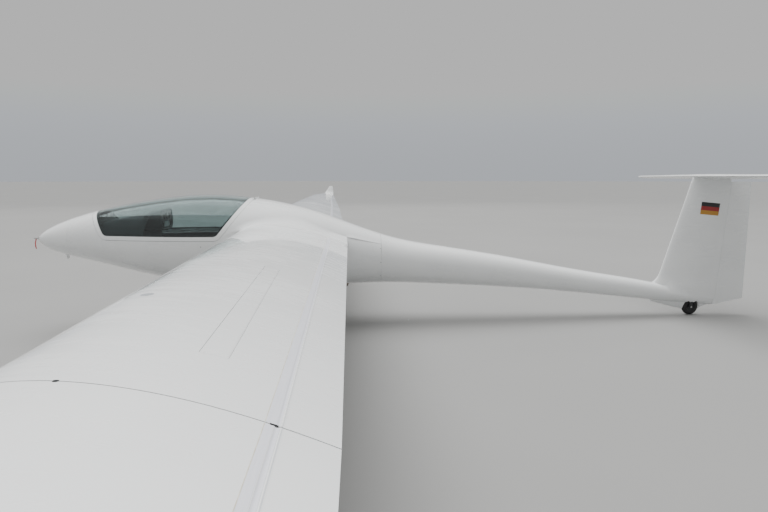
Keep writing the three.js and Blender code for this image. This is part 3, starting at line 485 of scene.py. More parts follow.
def chord_length(points):
    """Distance of each point from the first, point by point along the line."""
    return np.concatenate([[0], np.cumsum(np.linalg.norm(np.diff(points, axis=0), axis=1))])


def along_curve(points, count):
    """Evenly spaced points on the spline through a few points."""
    points = np.asarray(points, float)
    length = chord_length(points)
    even = np.linspace(0, length[-1], count)
    return np.stack([spline(length, points[:, k])(even) for k in range(3)], axis=1)


def tube(path, radius, sides=16):
    """Round bar: every point of the path carries a circle square to the path's direction."""
    path = np.asarray(path, float)
    ahead = np.gradient(path, axis=0)
    across = unit(np.cross(ahead, ASKEW))
    up = unit(np.cross(ahead, across))
    a = bearings(sides)[:, None]
    radius = np.broadcast_to(radius, len(path))[:, None, None]
    return loft(path[:, None] + radius * (across[:, None] * np.cos(a) + up[:, None] * np.sin(a)))


def bar(start, end, radius, sides=16):
    """Straight tube between two points."""
    return tube(np.linspace(start, end, 3), radius, sides)


def prism(outline, axis, low, high):
    """Solid between two copies of a flat outline, `low` and `high` along an axis."""
    outline = np.asarray(outline, float)
    loops = [np.insert(outline, axis, level, axis=1) for level in (low, high)]
    return loft(np.stack(loops))


def block(x, y, z):
    """Solid with flat sides between two values of each coordinate."""
    return prism([(x[0], y[0]), (x[1], y[0]), (x[1], y[1]), (x[0], y[1])], 2, *z)


def turned(profile, centre, count=64, axis=1):
    """Closed profile of (radius, offset along the axle) carried once round the axle."""
    profile = np.asarray(profile, float)
    a = bearings(count)[:, None]
    spots = [profile[:, 0] * np.cos(a), profile[:, 0] * np.sin(a)]
    spots.insert(axis, profile[:, 1] + 0 * a)
    grid = np.stack(spots, axis=-1) + centre
    index = np.arange(grid.shape[0] * grid.shape[1]).reshape(grid.shape[:2])
    right, below = np.roll(index, -1, axis=1), np.roll(index, -1, axis=0)
    faces = np.stack([index, right, np.roll(right, -1, axis=0), below], axis=-1)
    return grid.reshape(-1, 3), [faces.reshape(-1, 4)]


def spun(profile, start, end, count=32):
    """Closed profile of (radius, distance from `start`) carried round the line towards `end`."""
    line = unit(np.subtract(end, start))
    across = unit(np.cross(line, ASKEW))
    points, faces = turned(profile, (0, 0, 0), count, 2)
    return start + points @ np.stack([across, np.cross(line, across), line]), faces


def rod(start, end, radius, count=24):
    """Round bar with a small chamfer at both ends."""
    length = np.linalg.norm(np.subtract(end, start))
    c = min(0.15 * radius, 0.002)
    line = [
        (1e-4, 0), (radius - c, 0), (radius, c),
        (radius, length - c), (radius - c, length), (1e-4, length),
    ]
    return spun(line, start, end, count)


def pillow(centre, size, edge=5.0, rings=14, count=36):
    """Rounded block: |x/a|^n + |y/b|^n + |z/c|^n = 1, where a large n gives a tight edge."""
    t = np.sin(np.linspace(-0.995, 0.995, rings) * np.pi / 2)[:, None]
    a = bearings(count)
    shrink = (1 - np.abs(t) ** edge) ** (1 / edge)
    x = shrink * power(np.cos(a), 2 / edge)
    y = shrink * power(np.sin(a), 2 / edge)
    return loft(xyz(x, y, t) * np.array(size) / 2 + centre)


def bevelled(thing, width=0.0015, segments=2):
    """Rounds the piece's sharp edges with a live Bevel modifier."""
    bevel = thing.modifiers.new("rounded_edges", "BEVEL")
    bevel.width, bevel.segments, bevel.limit_method = width, segments, "ANGLE"
    bevel.angle_limit = math.radians(40)
    return thing


# %% [markdown]
# ## Nose cone
#
# The nose slides forward on the real aircraft to free a folded propeller, so a fine seam runs
# round it. It is a cap of revolution in all but name: rings of the body's own section, drawn
# together at the tip. The stations go with the square of the ring's number, which keeps the faces
# at the tip as small as its radius asks.

# %% Nose cone
TURN = bearings(96)
SEAM = 0.0009  # half of the visible width of a panel seam

steps = np.linspace(0.02, 1, 44)[:, None]
rings = body((NOSE_SEAM - SEAM) * steps**2, TURN)
lip = body(np.full((1, 1), NOSE_SEAM - SEAM), TURN, inset=0.004)
nose_shape = loft(np.concatenate([rings, lip]))
piece("nose_cone_skin", nose_shape, "airframe", WHITE, ["nose_cone"])

# %% [markdown]
# ## Canopy outline
#
# Seen from the side, the cut of the canopy is two slanting lines and a level one with rounded
# corners. The same outline, moved outwards, gives the glass, its rim and the opening in the body.
# Each is found at the height where the outline meets the skin, so they all lie in one surface.

# %% Canopy outline
FRONT_TOP, FRONT_LOW = np.array([0.700, 1.332]), np.array([0.845, 1.085])
REAR_LOW, REAR_TOP = np.array([2.068, 1.085]), np.array([2.374, 1.490])
CORNER = 0.070
RIM = 0.045


def cosine_spaced(start, end, count):
    """Values packed closer at both ends, as half a turn of a circle seen from the side."""
    return between(start, end, (1 - np.cos(np.linspace(0, np.pi, count))) / 2)


def bend_corner(before, corner, after, radius, steps=30):
    """Quadratic curve through a rounded corner, tangent to both sides at the radius's reach."""
    to_before, to_after = unit(before - corner), unit(after - corner)
    back = radius / np.tan(np.arccos(to_before @ to_after) / 2)
    start, end = corner + to_before * back, corner + to_after * back
    t = np.linspace(0, 1, steps)[:, None]
    return start * (1 - t) ** 2 + corner * 2 * t * (1 - t) + end * t**2


def canopy_cut(grow):
    """Height of the canopy's edge over the station, for the outline moved out by `grow`."""
    front, rear = unit(FRONT_LOW - FRONT_TOP), unit(REAR_TOP - REAR_LOW)
    low, high = FRONT_LOW[1] - grow, 1.7

    def on_front(z):
        return np.array([FRONT_TOP[0] + (z - FRONT_TOP[1]) * front[0] / front[1] + grow / front[1], z])

    def on_rear(z):
        return np.array([REAR_LOW[0] + (z - REAR_LOW[1]) * rear[0] / rear[1] + grow / rear[1], z])

    first = bend_corner(on_front(high), on_front(low), on_rear(low), CORNER + grow)
    second = bend_corner(on_front(low), on_rear(low), on_rear(high), CORNER + grow)
    line = np.concatenate([[on_front(high)], first, second, [on_rear(high)]])
    return lambda x: np.interp(x, line[:, 0], line[:, 1])


def canopy_ends(grow):
    """Stations where the outline crosses the top line."""
    x = np.linspace(0.5, 2.6, 40001)
    inside = x[canopy_cut(grow)(x) < crown(x)]
    return inside[0], inside[-1]


def canopy_edge(grow, count):
    """Stations and angles along the starboard edge, evenly spaced, from front top to rear top."""
    start, end = canopy_ends(grow)
    x = cosine_spaced(start, end, 4001)
    angle = angle_at_height(x, np.minimum(canopy_cut(grow)(x), crown(x)))
    angle[[0, -1]] = np.pi / 2
    length = chord_length(body(x, angle))
    even = np.linspace(0, length[-1], count)
    return np.interp(even, length, x), np.interp(even, length, angle)


print("canopy: glass from", *np.round(canopy_ends(0.0), 3))

# %% [markdown]
# ## Fuselage shell
#
# The front fuselage is a shell 20 mm thick, with the canopy opening cut out above and two wheel
# wells below. One grid covers it all: its rows start at the port edge of the opening, run under the
# belly, and end at the starboard edge. Where there is no opening the last row meets the first
# over the top. Rows are led along the sides of the wheel wells, so that leaving out whole
# cells cuts the wells cleanly.

# %% Fuselage shell
WELL = {"front": 2.200, "rear": 2.740, "inner": 0.045, "outer": 0.385}
OPENING_GAP = 0.0022


def clustered(start, end, count, at_end=False):
    """Values from start to end, packed closer at the start, or at the end, by a square."""
    t = np.linspace(0, 1, count)
    return between(start, end, 1 - (1 - t) ** 2 if at_end else t**2)


opening_start, opening_end = canopy_ends(RIM + OPENING_GAP)
stations = np.concatenate([
    clustered(NOSE_SEAM + SEAM, opening_start, 12, at_end=True)[:-1],
    clustered(opening_start, 1.2, 34)[:-1],
    np.linspace(1.2, 1.9, 30)[:-1],
    np.linspace(1.9, WELL["front"], 20)[:-1],
    clustered(WELL["front"], opening_end, 24, at_end=True)[:-1],
    clustered(opening_end, WELL["rear"], 20)[:-1],
    np.linspace(WELL["rear"], BOOM_SEAM - SEAM, 44),
])
open_here = (stations > opening_start - 1e-6) & (stations < opening_end + 1e-6)
edge = angle_at_height(stations, np.minimum(canopy_cut(RIM + OPENING_GAP)(stations), crown(stations)))
near_top = np.arccos(np.minimum(0.004 / half_width(stations), 1) ** (ROUND / 2))
edge = np.where(open_here, np.minimum(edge, near_top), near_top)

keel = np.full_like(stations, -np.pi / 2)
well_in = angle_at_side(stations, np.minimum(WELL["inner"], 0.2 * half_width(stations)))
well_out = angle_at_side(stations, np.minimum(WELL["outer"], 0.8 * half_width(stations)))
counts = (4, 18, 44)
starboard = np.concatenate([
    between(keel, well_in, np.linspace(0, 1, counts[0] + 1)[:-1, None]),
    between(well_in, well_out, np.linspace(0, 1, counts[1] + 1)[:-1, None]),
    between(well_out, edge, np.linspace(0, 1, counts[2] + 1)[:, None]),
])
angles = np.concatenate([np.pi - starboard[:0:-1], starboard])
cells = np.ones((len(angles), len(stations) - 1), bool)
middles = (stations[1:] + stations[:-1]) / 2
cells[-1] = ~(open_here[1:] & open_here[:-1])
in_well = (middles > WELL["front"]) & (middles < WELL["rear"])
half_rows = counts[0] + counts[1] + counts[2]
for side_rows in (
    slice(half_rows + counts[0], half_rows + counts[0] + counts[1]),
    slice(half_rows - counts[0] - counts[1], half_rows - counts[0]),
):
    cells[side_rows] &= ~in_well
shell = plate(body(stations, angles), body(stations, angles, SKIN), cells, wrap=True)
piece("fuselage_skin", shell, "airframe", WHITE, ["fuselage_shell"])
print("shell:", angles.shape, "grid")

# %% [markdown]
# ## Canopy frame and glass
#
# The white rim of the canopy is a closed band that follows the outline, flush with the body. The
# band's columns are the outline moved out step by step, so that its inner edge fits the glass
# and its outer edge the opening. The glass itself is one blown sheet of acrylic: a grid from
# port edge over the top to starboard edge, in the same skin, and only a few millimetres thick.

# %% Canopy frame
def canopy_band(grows, inset, count=260):
    """Closed ring of points: starboard edge from front to rear, then the port edge back."""
    columns = []
    for grow in grows:
        x, angle = canopy_edge(grow, count)
        right, left = body(x, angle, inset), body(x, np.pi - angle, inset)
        columns.append(np.concatenate([right, left[-2:0:-1]]))
    return np.stack(columns, axis=1)


frame_grows = np.concatenate([[0.0006, 0.002], np.linspace(0.006, RIM - 0.004, 6), [RIM - 0.001]])
frame_band = plate(canopy_band(frame_grows, 0.0), canopy_band(frame_grows, 0.022), wrap=True)
piece("canopy_rim", frame_band, "canopy", WHITE, ["canopy_frame"])

seal_grows = np.array([-0.016, -0.008, 0.0002])
# Black rubber of the canopy seal and small fittings; the wing's joint fillers and the dash where the tapes end use
# it as painted shade of their gaps.
RUBBER_AND_GAP_SHADE = Finish("rubber_and_painted_gap_shade", Base_Color=rgb(0.012, 0.013, 0.014), Roughness=0.55)
grain = RUBBER_AND_GAP_SHADE.noise(RUBBER_AND_GAP_SHADE.place(), 180.0)
RUBBER_AND_GAP_SHADE.feed(Roughness=RUBBER_AND_GAP_SHADE.ramp(grain, 0.3, 0.7, 0.45, 0.65))
seal_band = plate(canopy_band(seal_grows, 0.0056), canopy_band(seal_grows, 0.0120), wrap=True)
piece("canopy_glass_seal", seal_band, "canopy", RUBBER_AND_GAP_SHADE)

# %% Canopy glass
GLASS = Finish("canopy_acrylic", Base_Color=rgb(0.46, 0.56, 0.56), Roughness=0.02, IOR=1.5)
GLASS.shader.inputs["Transmission Weight"].default_value = 1.0
smear = GLASS.noise(GLASS.stretched(GLASS.place(), (2.0, 5.0, 5.0)), 3.0, 4.0)
GLASS.feed(Roughness=GLASS.ramp(smear, 0.45, 0.75, 0.012, 0.05))

start, end = canopy_ends(-0.0004)
glass_x = cosine_spaced(start, end, 150)
glass_edge = angle_at_height(glass_x, np.minimum(canopy_cut(-0.0004)(glass_x), crown(glass_x)))
glass_edge = np.minimum(glass_edge, np.arccos((0.002 / half_width(glass_x)) ** (ROUND / 2)))
share = np.linspace(-1, 1, 81)[:, None]
glass_angle = np.pi / 2 - share * (np.pi / 2 - glass_edge)
glass = plate(body(glass_x, glass_angle), body(glass_x, glass_angle, 0.005))
piece("canopy_pane", glass, "canopy", GLASS, ["canopy_glass"], sharp=60)

# %% [markdown]
# ## Wing sections and moving surfaces
#
# A wing section is drawn by the class-shape method: height = square root of u, times (1 - u), times
# a gentle polynomial of u, where u runs from 0 at the leading edge to 1 at the trailing edge. The root
# gives the round nose and the factor (1 - u) the sharp tail.
#
# Flaps, ailerons, elevator and rudder all work alike: the moving part has a half-round nose about
# the hinge line, and the fixed part ends in a hollow round it. Two functions make these closed
# loops for any of them, from a function for the skin and one for the hinge.

# %% Sections, panels and moving surfaces
def bernstein(weights, u):
    """Cubic through its end weights, pulled towards the two in the middle."""
    a, b, c, d = weights
    return a * (1 - u) ** 3 + 3 * b * u * (1 - u) ** 2 + 3 * c * u**2 * (1 - u) + d * u**3


def section_height(weights, u):
    """Height of a section as a share of its chord; the edge keeps a little thickness."""
    return np.sqrt(np.maximum(u, 0)) * (1 - u) * bernstein(weights, u) + 0.0011 * u * np.sign(sum(weights))


def front_spaced(end, count):
    """Shares of the chord from 0 to `end`, packed closer towards the leading edge."""
    return end * np.linspace(0, 1, count) ** 1.9


def arc(hinge, forward, up, radius, a):
    """Points round the hinge at each row's angles: radius times (forward cos a + up sin a)."""
    spread = forward[:, None] * np.cos(a)[..., None] + up[:, None] * np.sin(a)[..., None]
    return hinge[:, None] + radius[:, None, None] * spread


def fixed_panel(skin, span, lip, hinge, radius, count=46):
    """Loops of a wing ahead of its hinge: upper skin, leading edge, lower skin, hollow round the hinge."""
    shares = front_spaced(1.0, count)
    over = skin(+1, lip[:, None] * shares[::-1], span[:, None])
    under = skin(-1, lip[:, None] * shares[1:], span[:, None])
    forward, up = hinge_axes(skin, span, hinge, lip)
    first, last = under[:, -1] - hinge, over[:, 0] - hinge

    def bearing(reach):
        across = np.einsum("ij,ij->i", reach, up)
        ahead = np.einsum("ij,ij->i", reach, forward)
        return np.arctan2(across, ahead)

    turn = between(bearing(first)[:, None], bearing(last)[:, None], np.linspace(0.04, 0.96, 15))
    return np.concatenate([over, under, arc(hinge, forward, up, radius, turn)], axis=1)


def hinge_axes(skin, span, hinge, share):
    """Unit vectors in the section: forward from the hinge along the middle line, and up across it."""
    over, under = skin(+1, share, span), skin(-1, share, span)
    forward = unit((over + under) / 2 - hinge)
    up = over - under
    up -= forward * np.einsum("ij,ij->i", up, forward)[:, None]
    return forward, unit(up)


def moving_surface(skin, span, at_hinge, ahead, hinge, radius, rear=None, count=26):
    """Loops of a flap or rudder: upper skin from the edge to the hinge, round nose, lower skin back."""
    rear = np.ones_like(span) if rear is None else rear
    u = between(at_hinge[:, None], rear[:, None], np.linspace(0, 1, count))
    over, under = skin(+1, u[:, ::-1], span[:, None]), skin(-1, u, span[:, None])
    forward, up = hinge_axes(skin, span, hinge, ahead)
    half_turn = np.linspace(0.485, -0.485, 17)[None] * np.pi
    nose = arc(hinge, forward, up, radius, half_turn)
    return np.concatenate([over[:, :-1], nose, under[:, 1:]], axis=1)


# %% [markdown]
# ## Wing
#
# The wing tapers in three steps to a tip a third as deep as the root. Rows of a table give the
# leading edge, the trailing edge, the incidence and a thickness factor at four places, with
# straight lines between them. The inner panel carries the flap and the airbrake, the outer one
# the aileron. They meet at a joint where the wing is taken apart for the hangar.

# %% Wing surface
WING = np.array([  # y, leading edge x, trailing edge x, trailing edge z, incidence, thickness factor
    (0.600, 2.330, 3.450, 0.988, 7.0, 0.95),
    (5.240, 2.470, 3.370, 1.054, 8.0, 1.00),
    (9.500, 2.600, 3.240, 1.116, 7.0, 0.90),
    (12.200, 2.830, 3.160, 1.155, 5.5, 0.80),
])
UPPER, LOWER = (0.28, 0.29, 0.31, 0.29), (-0.14, -0.11, -0.07, -0.02)
ROOT_Y, JOINT_Y, TIP_Y = 0.600, 5.240, 12.200
FLAP_X, AILERON_X, AILERON_END = (3.273, 3.226), (3.226, 3.093), 11.900
PANEL_SEAM = 0.0016
COVE = 0.003


def wing_row(y):
    """Leading edge, trailing edge and its height, incidence and thickness factor at a span position."""
    return [np.interp(y, WING[:, 0], WING[:, column]) for column in range(1, 6)]


def wing_skin(side, u, y):
    """Wing point: along the chord by u, and off it, square to the chord, by the section's height."""
    u, y = np.broadcast_arrays(u, y)
    lead, trail, trail_z, incidence, factor = wing_row(y)
    slope = np.tan(np.radians(incidence))
    chord = trail - lead
    height = section_height(UPPER if side > 0 else LOWER, u) * factor
    x = lead + chord * u + chord * slope * height
    z = trail_z + chord * slope * (1 - u) + chord * height
    return np.stack([x, y, z], axis=-1)


def share_at(side, x, y):
    """Chord share where the skin lies at station x, closed in on by three corrections."""
    lead, trail, _, incidence, factor = wing_row(y)
    u = (x - lead) / (trail - lead)
    for _ in range(3):
        off = section_height(UPPER if side > 0 else LOWER, u) * factor * np.tan(np.radians(incidence))
        u = (x - lead) / (trail - lead) - off
    return u


def wing_hinge(y, ends, stations_x):
    """Hinge point halfway between the skins, and half the thickness there."""
    x = np.interp(y, ends, stations_x)
    over = wing_skin(+1, share_at(+1, x, y), y)
    under = wing_skin(-1, share_at(-1, x, y), y)
    middle = (over + under) / 2
    return middle, (over[..., 2] - under[..., 2]) / 2


print("wing chords:", *np.round(WING[:, 2] - WING[:, 1], 3))

# %% [markdown]
# ## Inner wing panel
#
# The airbrake needs a slot in the upper skin. Its two long edges run slightly aslant across the
# tapering wing, so two rows of the grid are led along them and the rows between share out the rest.
# The cells inside the slot are left out, and a narrow box goes down from its edges.

# %% Inner panel with the airbrake slot
SLOT = {"front": 2.9338, "rear": 3.0192, "inner": 3.2465, "outer": 4.9085}
POCKET_FLOOR = 1.0896
SLOT_ROWS = range(7, 12)


def slanted(x, y):
    """Station of a line that passes x beside the slot's inner end and runs slightly aft outboard."""
    return x + 0.016 * (y - 3.250)


def slot_edge(edge, y):
    """The slot's front or rear edge on the upper skin."""
    return wing_skin(+1, share_at(+1, slanted(SLOT[edge], y), y), y)


def wing_lip(y, hinge, radius):
    """Chord share of the fixed skin's rear edge, where it meets the hollow round the hinge."""
    reach = np.sqrt((radius + COVE) ** 2 - radius**2)
    return share_at(+1, hinge[:, 0] - reach, y)


slot_y = [SLOT["inner"], SLOT["outer"]]
span = np.unique(np.concatenate([np.linspace(ROOT_Y + 0.0012, JOINT_Y - PANEL_SEAM, 34), slot_y]))
hinge, radius = wing_hinge(span, (ROOT_Y, JOINT_Y), FLAP_X)
lip = wing_lip(span, hinge, radius)
loops = fixed_panel(wing_skin, span, lip, hinge, radius + COVE)

front, rear = (share_at(+1, slanted(SLOT[edge], span), span)[:, None] for edge in ("front", "rear"))
rows = np.concatenate([
    between(lip[:, None], rear, np.linspace(0, 1, 8)[:-1]),
    between(rear, front, np.linspace(0, 1, 6)[:-1]),
    front * (1 - np.linspace(0, 1, 34)) ** 1.7,
], axis=1)
loops = np.concatenate([wing_skin(+1, rows, span[:, None]), loops[:, rows.shape[1]:]], axis=1)
points, (sides, *ends) = loft(loops)
sides = sides.reshape(len(span) - 1, -1, 4)
middle_y = (span[1:] + span[:-1]) / 2
inside = (middle_y > SLOT["inner"]) & (middle_y < SLOT["outer"])
sides[np.ix_(inside, SLOT_ROWS)] = -1
sides = sides.reshape(-1, 4)
panel = points, [sides[sides[:, 0] >= 0], *ends]

pocket_y = span[(span >= SLOT["inner"] - 1e-9) & (span <= SLOT["outer"] + 1e-9)]
rear_edge, front_edge = slot_edge("rear", pocket_y), slot_edge("front", pocket_y)
rear_floor, front_floor = rear_edge.copy(), front_edge.copy()
rear_floor[:, 2] = front_floor[:, 2] = POCKET_FLOOR
box = np.stack([rear_edge, rear_floor, front_floor, front_edge], axis=1)
index = np.arange(box.shape[0] * 4).reshape(-1, 4)
walls = quads(*box.shape[:2]).reshape(-1, 4)[:, ::-1]
pocket = box.reshape(-1, 3), [walls, index[:1], index[-1:, ::-1]]
pair("wing_inner_skin", joined(panel, pocket), "airframe", WHITE, ["wing_inner"], weld=True)

# %% Outer panel
outer_y = np.linspace(JOINT_Y + PANEL_SEAM, AILERON_END + 0.004, 44)
outer_y = np.unique(np.append(outer_y, WING[2, 0]))
hinge, radius = wing_hinge(outer_y, (JOINT_Y, AILERON_END), AILERON_X)
outer_loops = fixed_panel(wing_skin, outer_y, wing_lip(outer_y, hinge, radius), hinge, radius + COVE)
tip_y = np.linspace(AILERON_END + 0.004, TIP_Y - 0.0006, 6)[:, None]
tip_u = cosine_spaced(0, 1, 60)
whole = np.concatenate([wing_skin(+1, tip_u[::-1], tip_y), wing_skin(-1, tip_u[1:], tip_y)], axis=1)
pair("wing_outer_skin", joined(loft(outer_loops), loft(whole)), "airframe", WHITE, ["wing_outer"])

# %% Flaps and ailerons
def wing_flap(name, start, end, ends, hinge_x):
    """A moving surface of the wing between two span positions."""
    bend = WING[2, 0] if end > WING[2, 0] else start
    y = np.unique(np.append(np.linspace(start, end, 36), bend))
    hinge, radius = wing_hinge(y, ends, hinge_x)
    at_hinge, ahead = share_at(+1, hinge[:, 0], y), wing_lip(y, hinge, radius)
    loops = moving_surface(wing_skin, y, at_hinge, ahead, hinge, radius)
    pair(f"{name}_skin", loft(loops), name, WHITE, [name])


FLAP_GAP = PANEL_SEAM + 0.001
wing_flap("flap", ROOT_Y + 0.004, JOINT_Y - FLAP_GAP, (ROOT_Y, JOINT_Y), FLAP_X)
wing_flap("aileron", JOINT_Y + FLAP_GAP, AILERON_END + 0.002, (JOINT_Y, AILERON_END), AILERON_X)

# %% [markdown]
# ## Airbrakes
#
# Each airbrake is a lid that lies flush in the upper skin, with an upright plate below it. A lever
# in the cockpit pushes it up through the slot, and a second plate follows at half the height. The
# lid is a strip of the wing's own surface, so its outline shows only as a hairline. The plates are
# punched aluminium: a flat grid in which whole cells are left out.

# %% Satin aluminium
def bare_metal(name, tone, rough=0.34, grain_along=(3.0, 40.0, 40.0)):
    finish = Finish(name, Metallic=1.0, Roughness=rough)
    place = finish.place()
    grain = finish.noise(finish.stretched(place, grain_along), 22.0, 5.0, 0.65)
    blotch = finish.noise(place, 9.0, 4.0)
    dark = tuple(channel * 0.72 for channel in tone[:3])
    finish.feed(Base_Color=finish.mix(finish.ramp(blotch, 0.35, 0.7), tone, rgb(*dark)))
    finish.feed(Roughness=finish.ramp(grain * 0.6 + blotch * 0.4, 0.3, 0.7, rough - 0.1, rough + 0.14))
    finish.bump(grain, 0.0002, 0.25)
    return finish


ALLOY = bare_metal("satin_aluminium", rgb(0.62, 0.63, 0.64))

# %% Airbrake lids
lid_y = np.concatenate([[3.2480, 3.2488], np.linspace(3.256, 4.899, 40), [4.9062, 4.9070]])
lid_share = np.array([0.0, 0.010, 0.1, 0.3, 0.5, 0.7, 0.9, 0.990, 1.0])
lid_y = lid_y[:, None]
lid_front, lid_rear = slanted(SLOT["front"] + 0.0011, lid_y), slanted(SLOT["rear"] - 0.0011, lid_y)
lid_top = wing_skin(+1, share_at(+1, between(lid_front, lid_rear, lid_share), lid_y), lid_y)
lid_top[[0, -1]] -= [0, 0, 0.0007]
lid_top[:, [0, -1]] -= [0, 0, 0.0007]
pair("airbrake_lid", plate(lid_top, lid_top - [0, 0, 0.0115]), "airbrake_cap", WHITE, ["airbrake_cap"])


# %% Airbrake plates
def punched_plate(front, ends, heights, pitch=0.066):
    """Upright plate, 10 mm thick and slanted like the slot: every second cell of two rows is a hole."""
    holes = int((ends[1] - ends[0] - 0.03) / pitch)
    start = (ends[0] + ends[1] - holes * pitch) / 2
    lines = start + pitch * (np.arange(holes)[:, None] + np.array([0.16, 0.84]))
    y = np.concatenate([[ends[0]], lines.ravel(), [ends[1]]])
    z = between(*heights, np.array([0, 0.16, 0.44, 0.56, 0.84, 1.0]))
    face = xyz(slanted(front, y)[:, None], y[:, None], z)
    keep = np.ones((len(y) - 1, 5), bool)
    keep[np.ix_(range(1, len(y) - 1, 2), (1, 3))] = False
    return plate(face, face + [0.010, 0, 0], keep)


upper = punched_plate(2.9615, (3.270, 4.885), (1.0915, 1.1690))
lower = punched_plate(2.9775, (3.290, 4.865), (1.0915, 1.1524))
pair("airbrake_plate_upper", upper, "airbrake_cap", ALLOY)
pair("airbrake_plate_lower", lower, "airbrake_blade", ALLOY, ["airbrake_blade"])

# %% [markdown]
# ## Tapes, painted joint shade and caps on the wing
#
# A strip of white film is glued over the gap ahead of each flap and aileron, which keeps air from
# leaking through; its bluish grey is partly the film's own tint and partly painted shade of the
# groove over the gap. Its glue line has yellowed to a fine edge. The wiper strip behind each hinge
# is a real part, and its dark blue grey is painted shade of the gap line there. Where the wing
# panels meet, a black filler in the joint, and a black dash where the tapes end, are painted shade
# of the gaps. These things are millimetres thick and metres long, so each is a strip of the wing's
# own surface, lifted by less than a millimetre, or a copy of the section drawn in.

# %% Gap tapes
# Bluish grey film: partly its own tint, partly painted shade of the groove over the gap.
TAPE = mottled(
    "gap_tape", (rgb(0.71, 0.72, 0.77), rgb(0.66, 0.67, 0.73)), 6.0, 4.0, (0.35, 0.7), (40.0, 1.0, 40.0),
    Roughness=0.3, Coat_Weight=0.6, Coat_Roughness=0.1,
)
glue_tones = rgb(0.50, 0.47, 0.36), rgb(0.66, 0.64, 0.56)
GLUE = mottled("yellowed_glue_line", glue_tones, 30.0, 4.0, (0.35, 0.65), Roughness=0.45)
# The wiper strip is real; its dark blue grey is painted shade of the gap line behind the hinge.
wiper_painted_shade_tones = rgb(0.40, 0.45, 0.52), rgb(0.52, 0.56, 0.61)
WIPER_WITH_PAINTED_SHADE = mottled("wiper_strip_painted_shade", wiper_painted_shade_tones, 24.0, 4.0, (0.3, 0.7), Roughness=0.5)


def wing_strip(y, front, rear, side=+1, lift=0.0004, count=4, sag=0.0, sags_from=0.0):
    """Strip between two stations, 0.7 mm thick, lifted off the wing; its rear sags by half a sine wave."""
    across = np.linspace(0, 1, count)
    x = between(front[:, None], rear[:, None], across)
    dip = sag * np.sin(np.pi * np.clip((across - sags_from) / (1 - sags_from), 0, 1)) - lift
    raised = wing_skin(side, share_at(side, x, y[:, None]), y[:, None])
    raised[..., 2] -= side * dip
    return plate(raised, raised - [0, 0, side * 0.0007])


TAPE_ROWS, TAPE_WIDTH = 40, 0.0336
for name, start, end, ends, hinge_x, free, sags in (
    ("flap", ROOT_Y + 0.006, JOINT_Y - 0.005, (ROOT_Y, JOINT_Y), FLAP_X, 0.0085, (0.0014, 0.0014)),
    (
        "aileron", JOINT_Y + 0.005, AILERON_END - 0.004, (JOINT_Y, AILERON_END), AILERON_X,
        0.0140, (0.0022, 0.0010),
    ),
):
    tape_y = np.linspace(start, end, TAPE_ROWS)
    line = np.interp(tape_y, ends, hinge_x)
    sag = np.linspace(*sags, TAPE_ROWS)[:, None]
    rear = line - 0.0004
    for where, side in (("over", +1), ("under", -1)):
        glued = 1 - free / TAPE_WIDTH
        film = wing_strip(tape_y, rear - TAPE_WIDTH, rear, side, 0.0004, 24, sag, glued)
        glue = wing_strip(tape_y, line - 0.0362, line - 0.0342, side, 0.0003, 2)
        pair(f"{name}_gap_tape_{where}", film, "airframe", TAPE)
        pair(f"{name}_glue_line_{where}", glue, "airframe", GLUE)
    lift = np.linspace(0.0003, 0.0001, TAPE_ROWS)[:, None]
    wiper = wing_strip(tape_y, line + 0.0005, line + 0.0060, +1, lift, 2)
    pair(f"{name}_wiper", wiper, name, WIPER_WITH_PAINTED_SHADE)
# A black dash where the tapes end at the panel joint: painted shade of the gap between them.
end_y = JOINT_Y + np.array([-0.0045, 0.0045])
end_line = np.full(2, AILERON_X[0])
end_gap = wing_strip(end_y, end_line - 0.024, end_line - 0.004, +1, 0.0002)
pair("tape_end_gap_painted_shade", end_gap, "airframe", RUBBER_AND_GAP_SHADE)


# %% Joint fillers of painted shade
def section_ring(y, half, inset, rear_x):
    """Black filler of a joint, painted shade of the gap: the wing's section, drawn in a little, between two span
    positions.
    """
    ends = np.array([y - half, y + half])
    last = share_at(+1, np.full(2, rear_x), ends)
    u = between(0.0006, last, front_spaced(1.0, 60)[:, None]).T
    over = wing_skin(+1, u[:, ::-1], ends[:, None]) - [0, 0, inset]
    under = wing_skin(-1, u[:, 1:], ends[:, None]) + [0, 0, inset]
    return loft(np.concatenate([over, under], axis=1))


# Both joint fillers are black: painted shade of the gaps between the panels and at the root.
pair("panel_joint_painted_shade", section_ring(JOINT_Y, 0.0014, 0.0006, 3.205), "airframe", RUBBER_AND_GAP_SHADE)
pair("root_joint_painted_shade", section_ring(ROOT_Y, 0.0010, 0.0009, 3.240), "airframe", RUBBER_AND_GAP_SHADE)


# %% Round fittings
def button(surface, radius, profile, count=40):
    """Round fitting on a skin: circles whose radii and heights a short profile gives."""
    dx, dy = radius * np.cos(bearings(count)), radius * np.sin(bearings(count))
    return loft(np.stack([surface(dx * share, dy * share, height) for share, height in profile]))


def on_wing(x, y):
    """The skin round a point of the wing, as a function of two offsets and a height."""
    return lambda dx, dy, lift: wing_skin(+1, share_at(+1, x + dx, y + dy), y + dy) + [0, 0, lift]


def on_body(x, z):
    """The skin round a point of the body, as a function of two offsets and a height."""
    angle = angle_at_height(x, z)
    scale = np.linalg.norm(body(x, angle + 0.01) - body(x, angle - 0.01)) / 0.02
    return lambda dx, dy, lift: body(x + dx, angle + dy / scale, -lift)


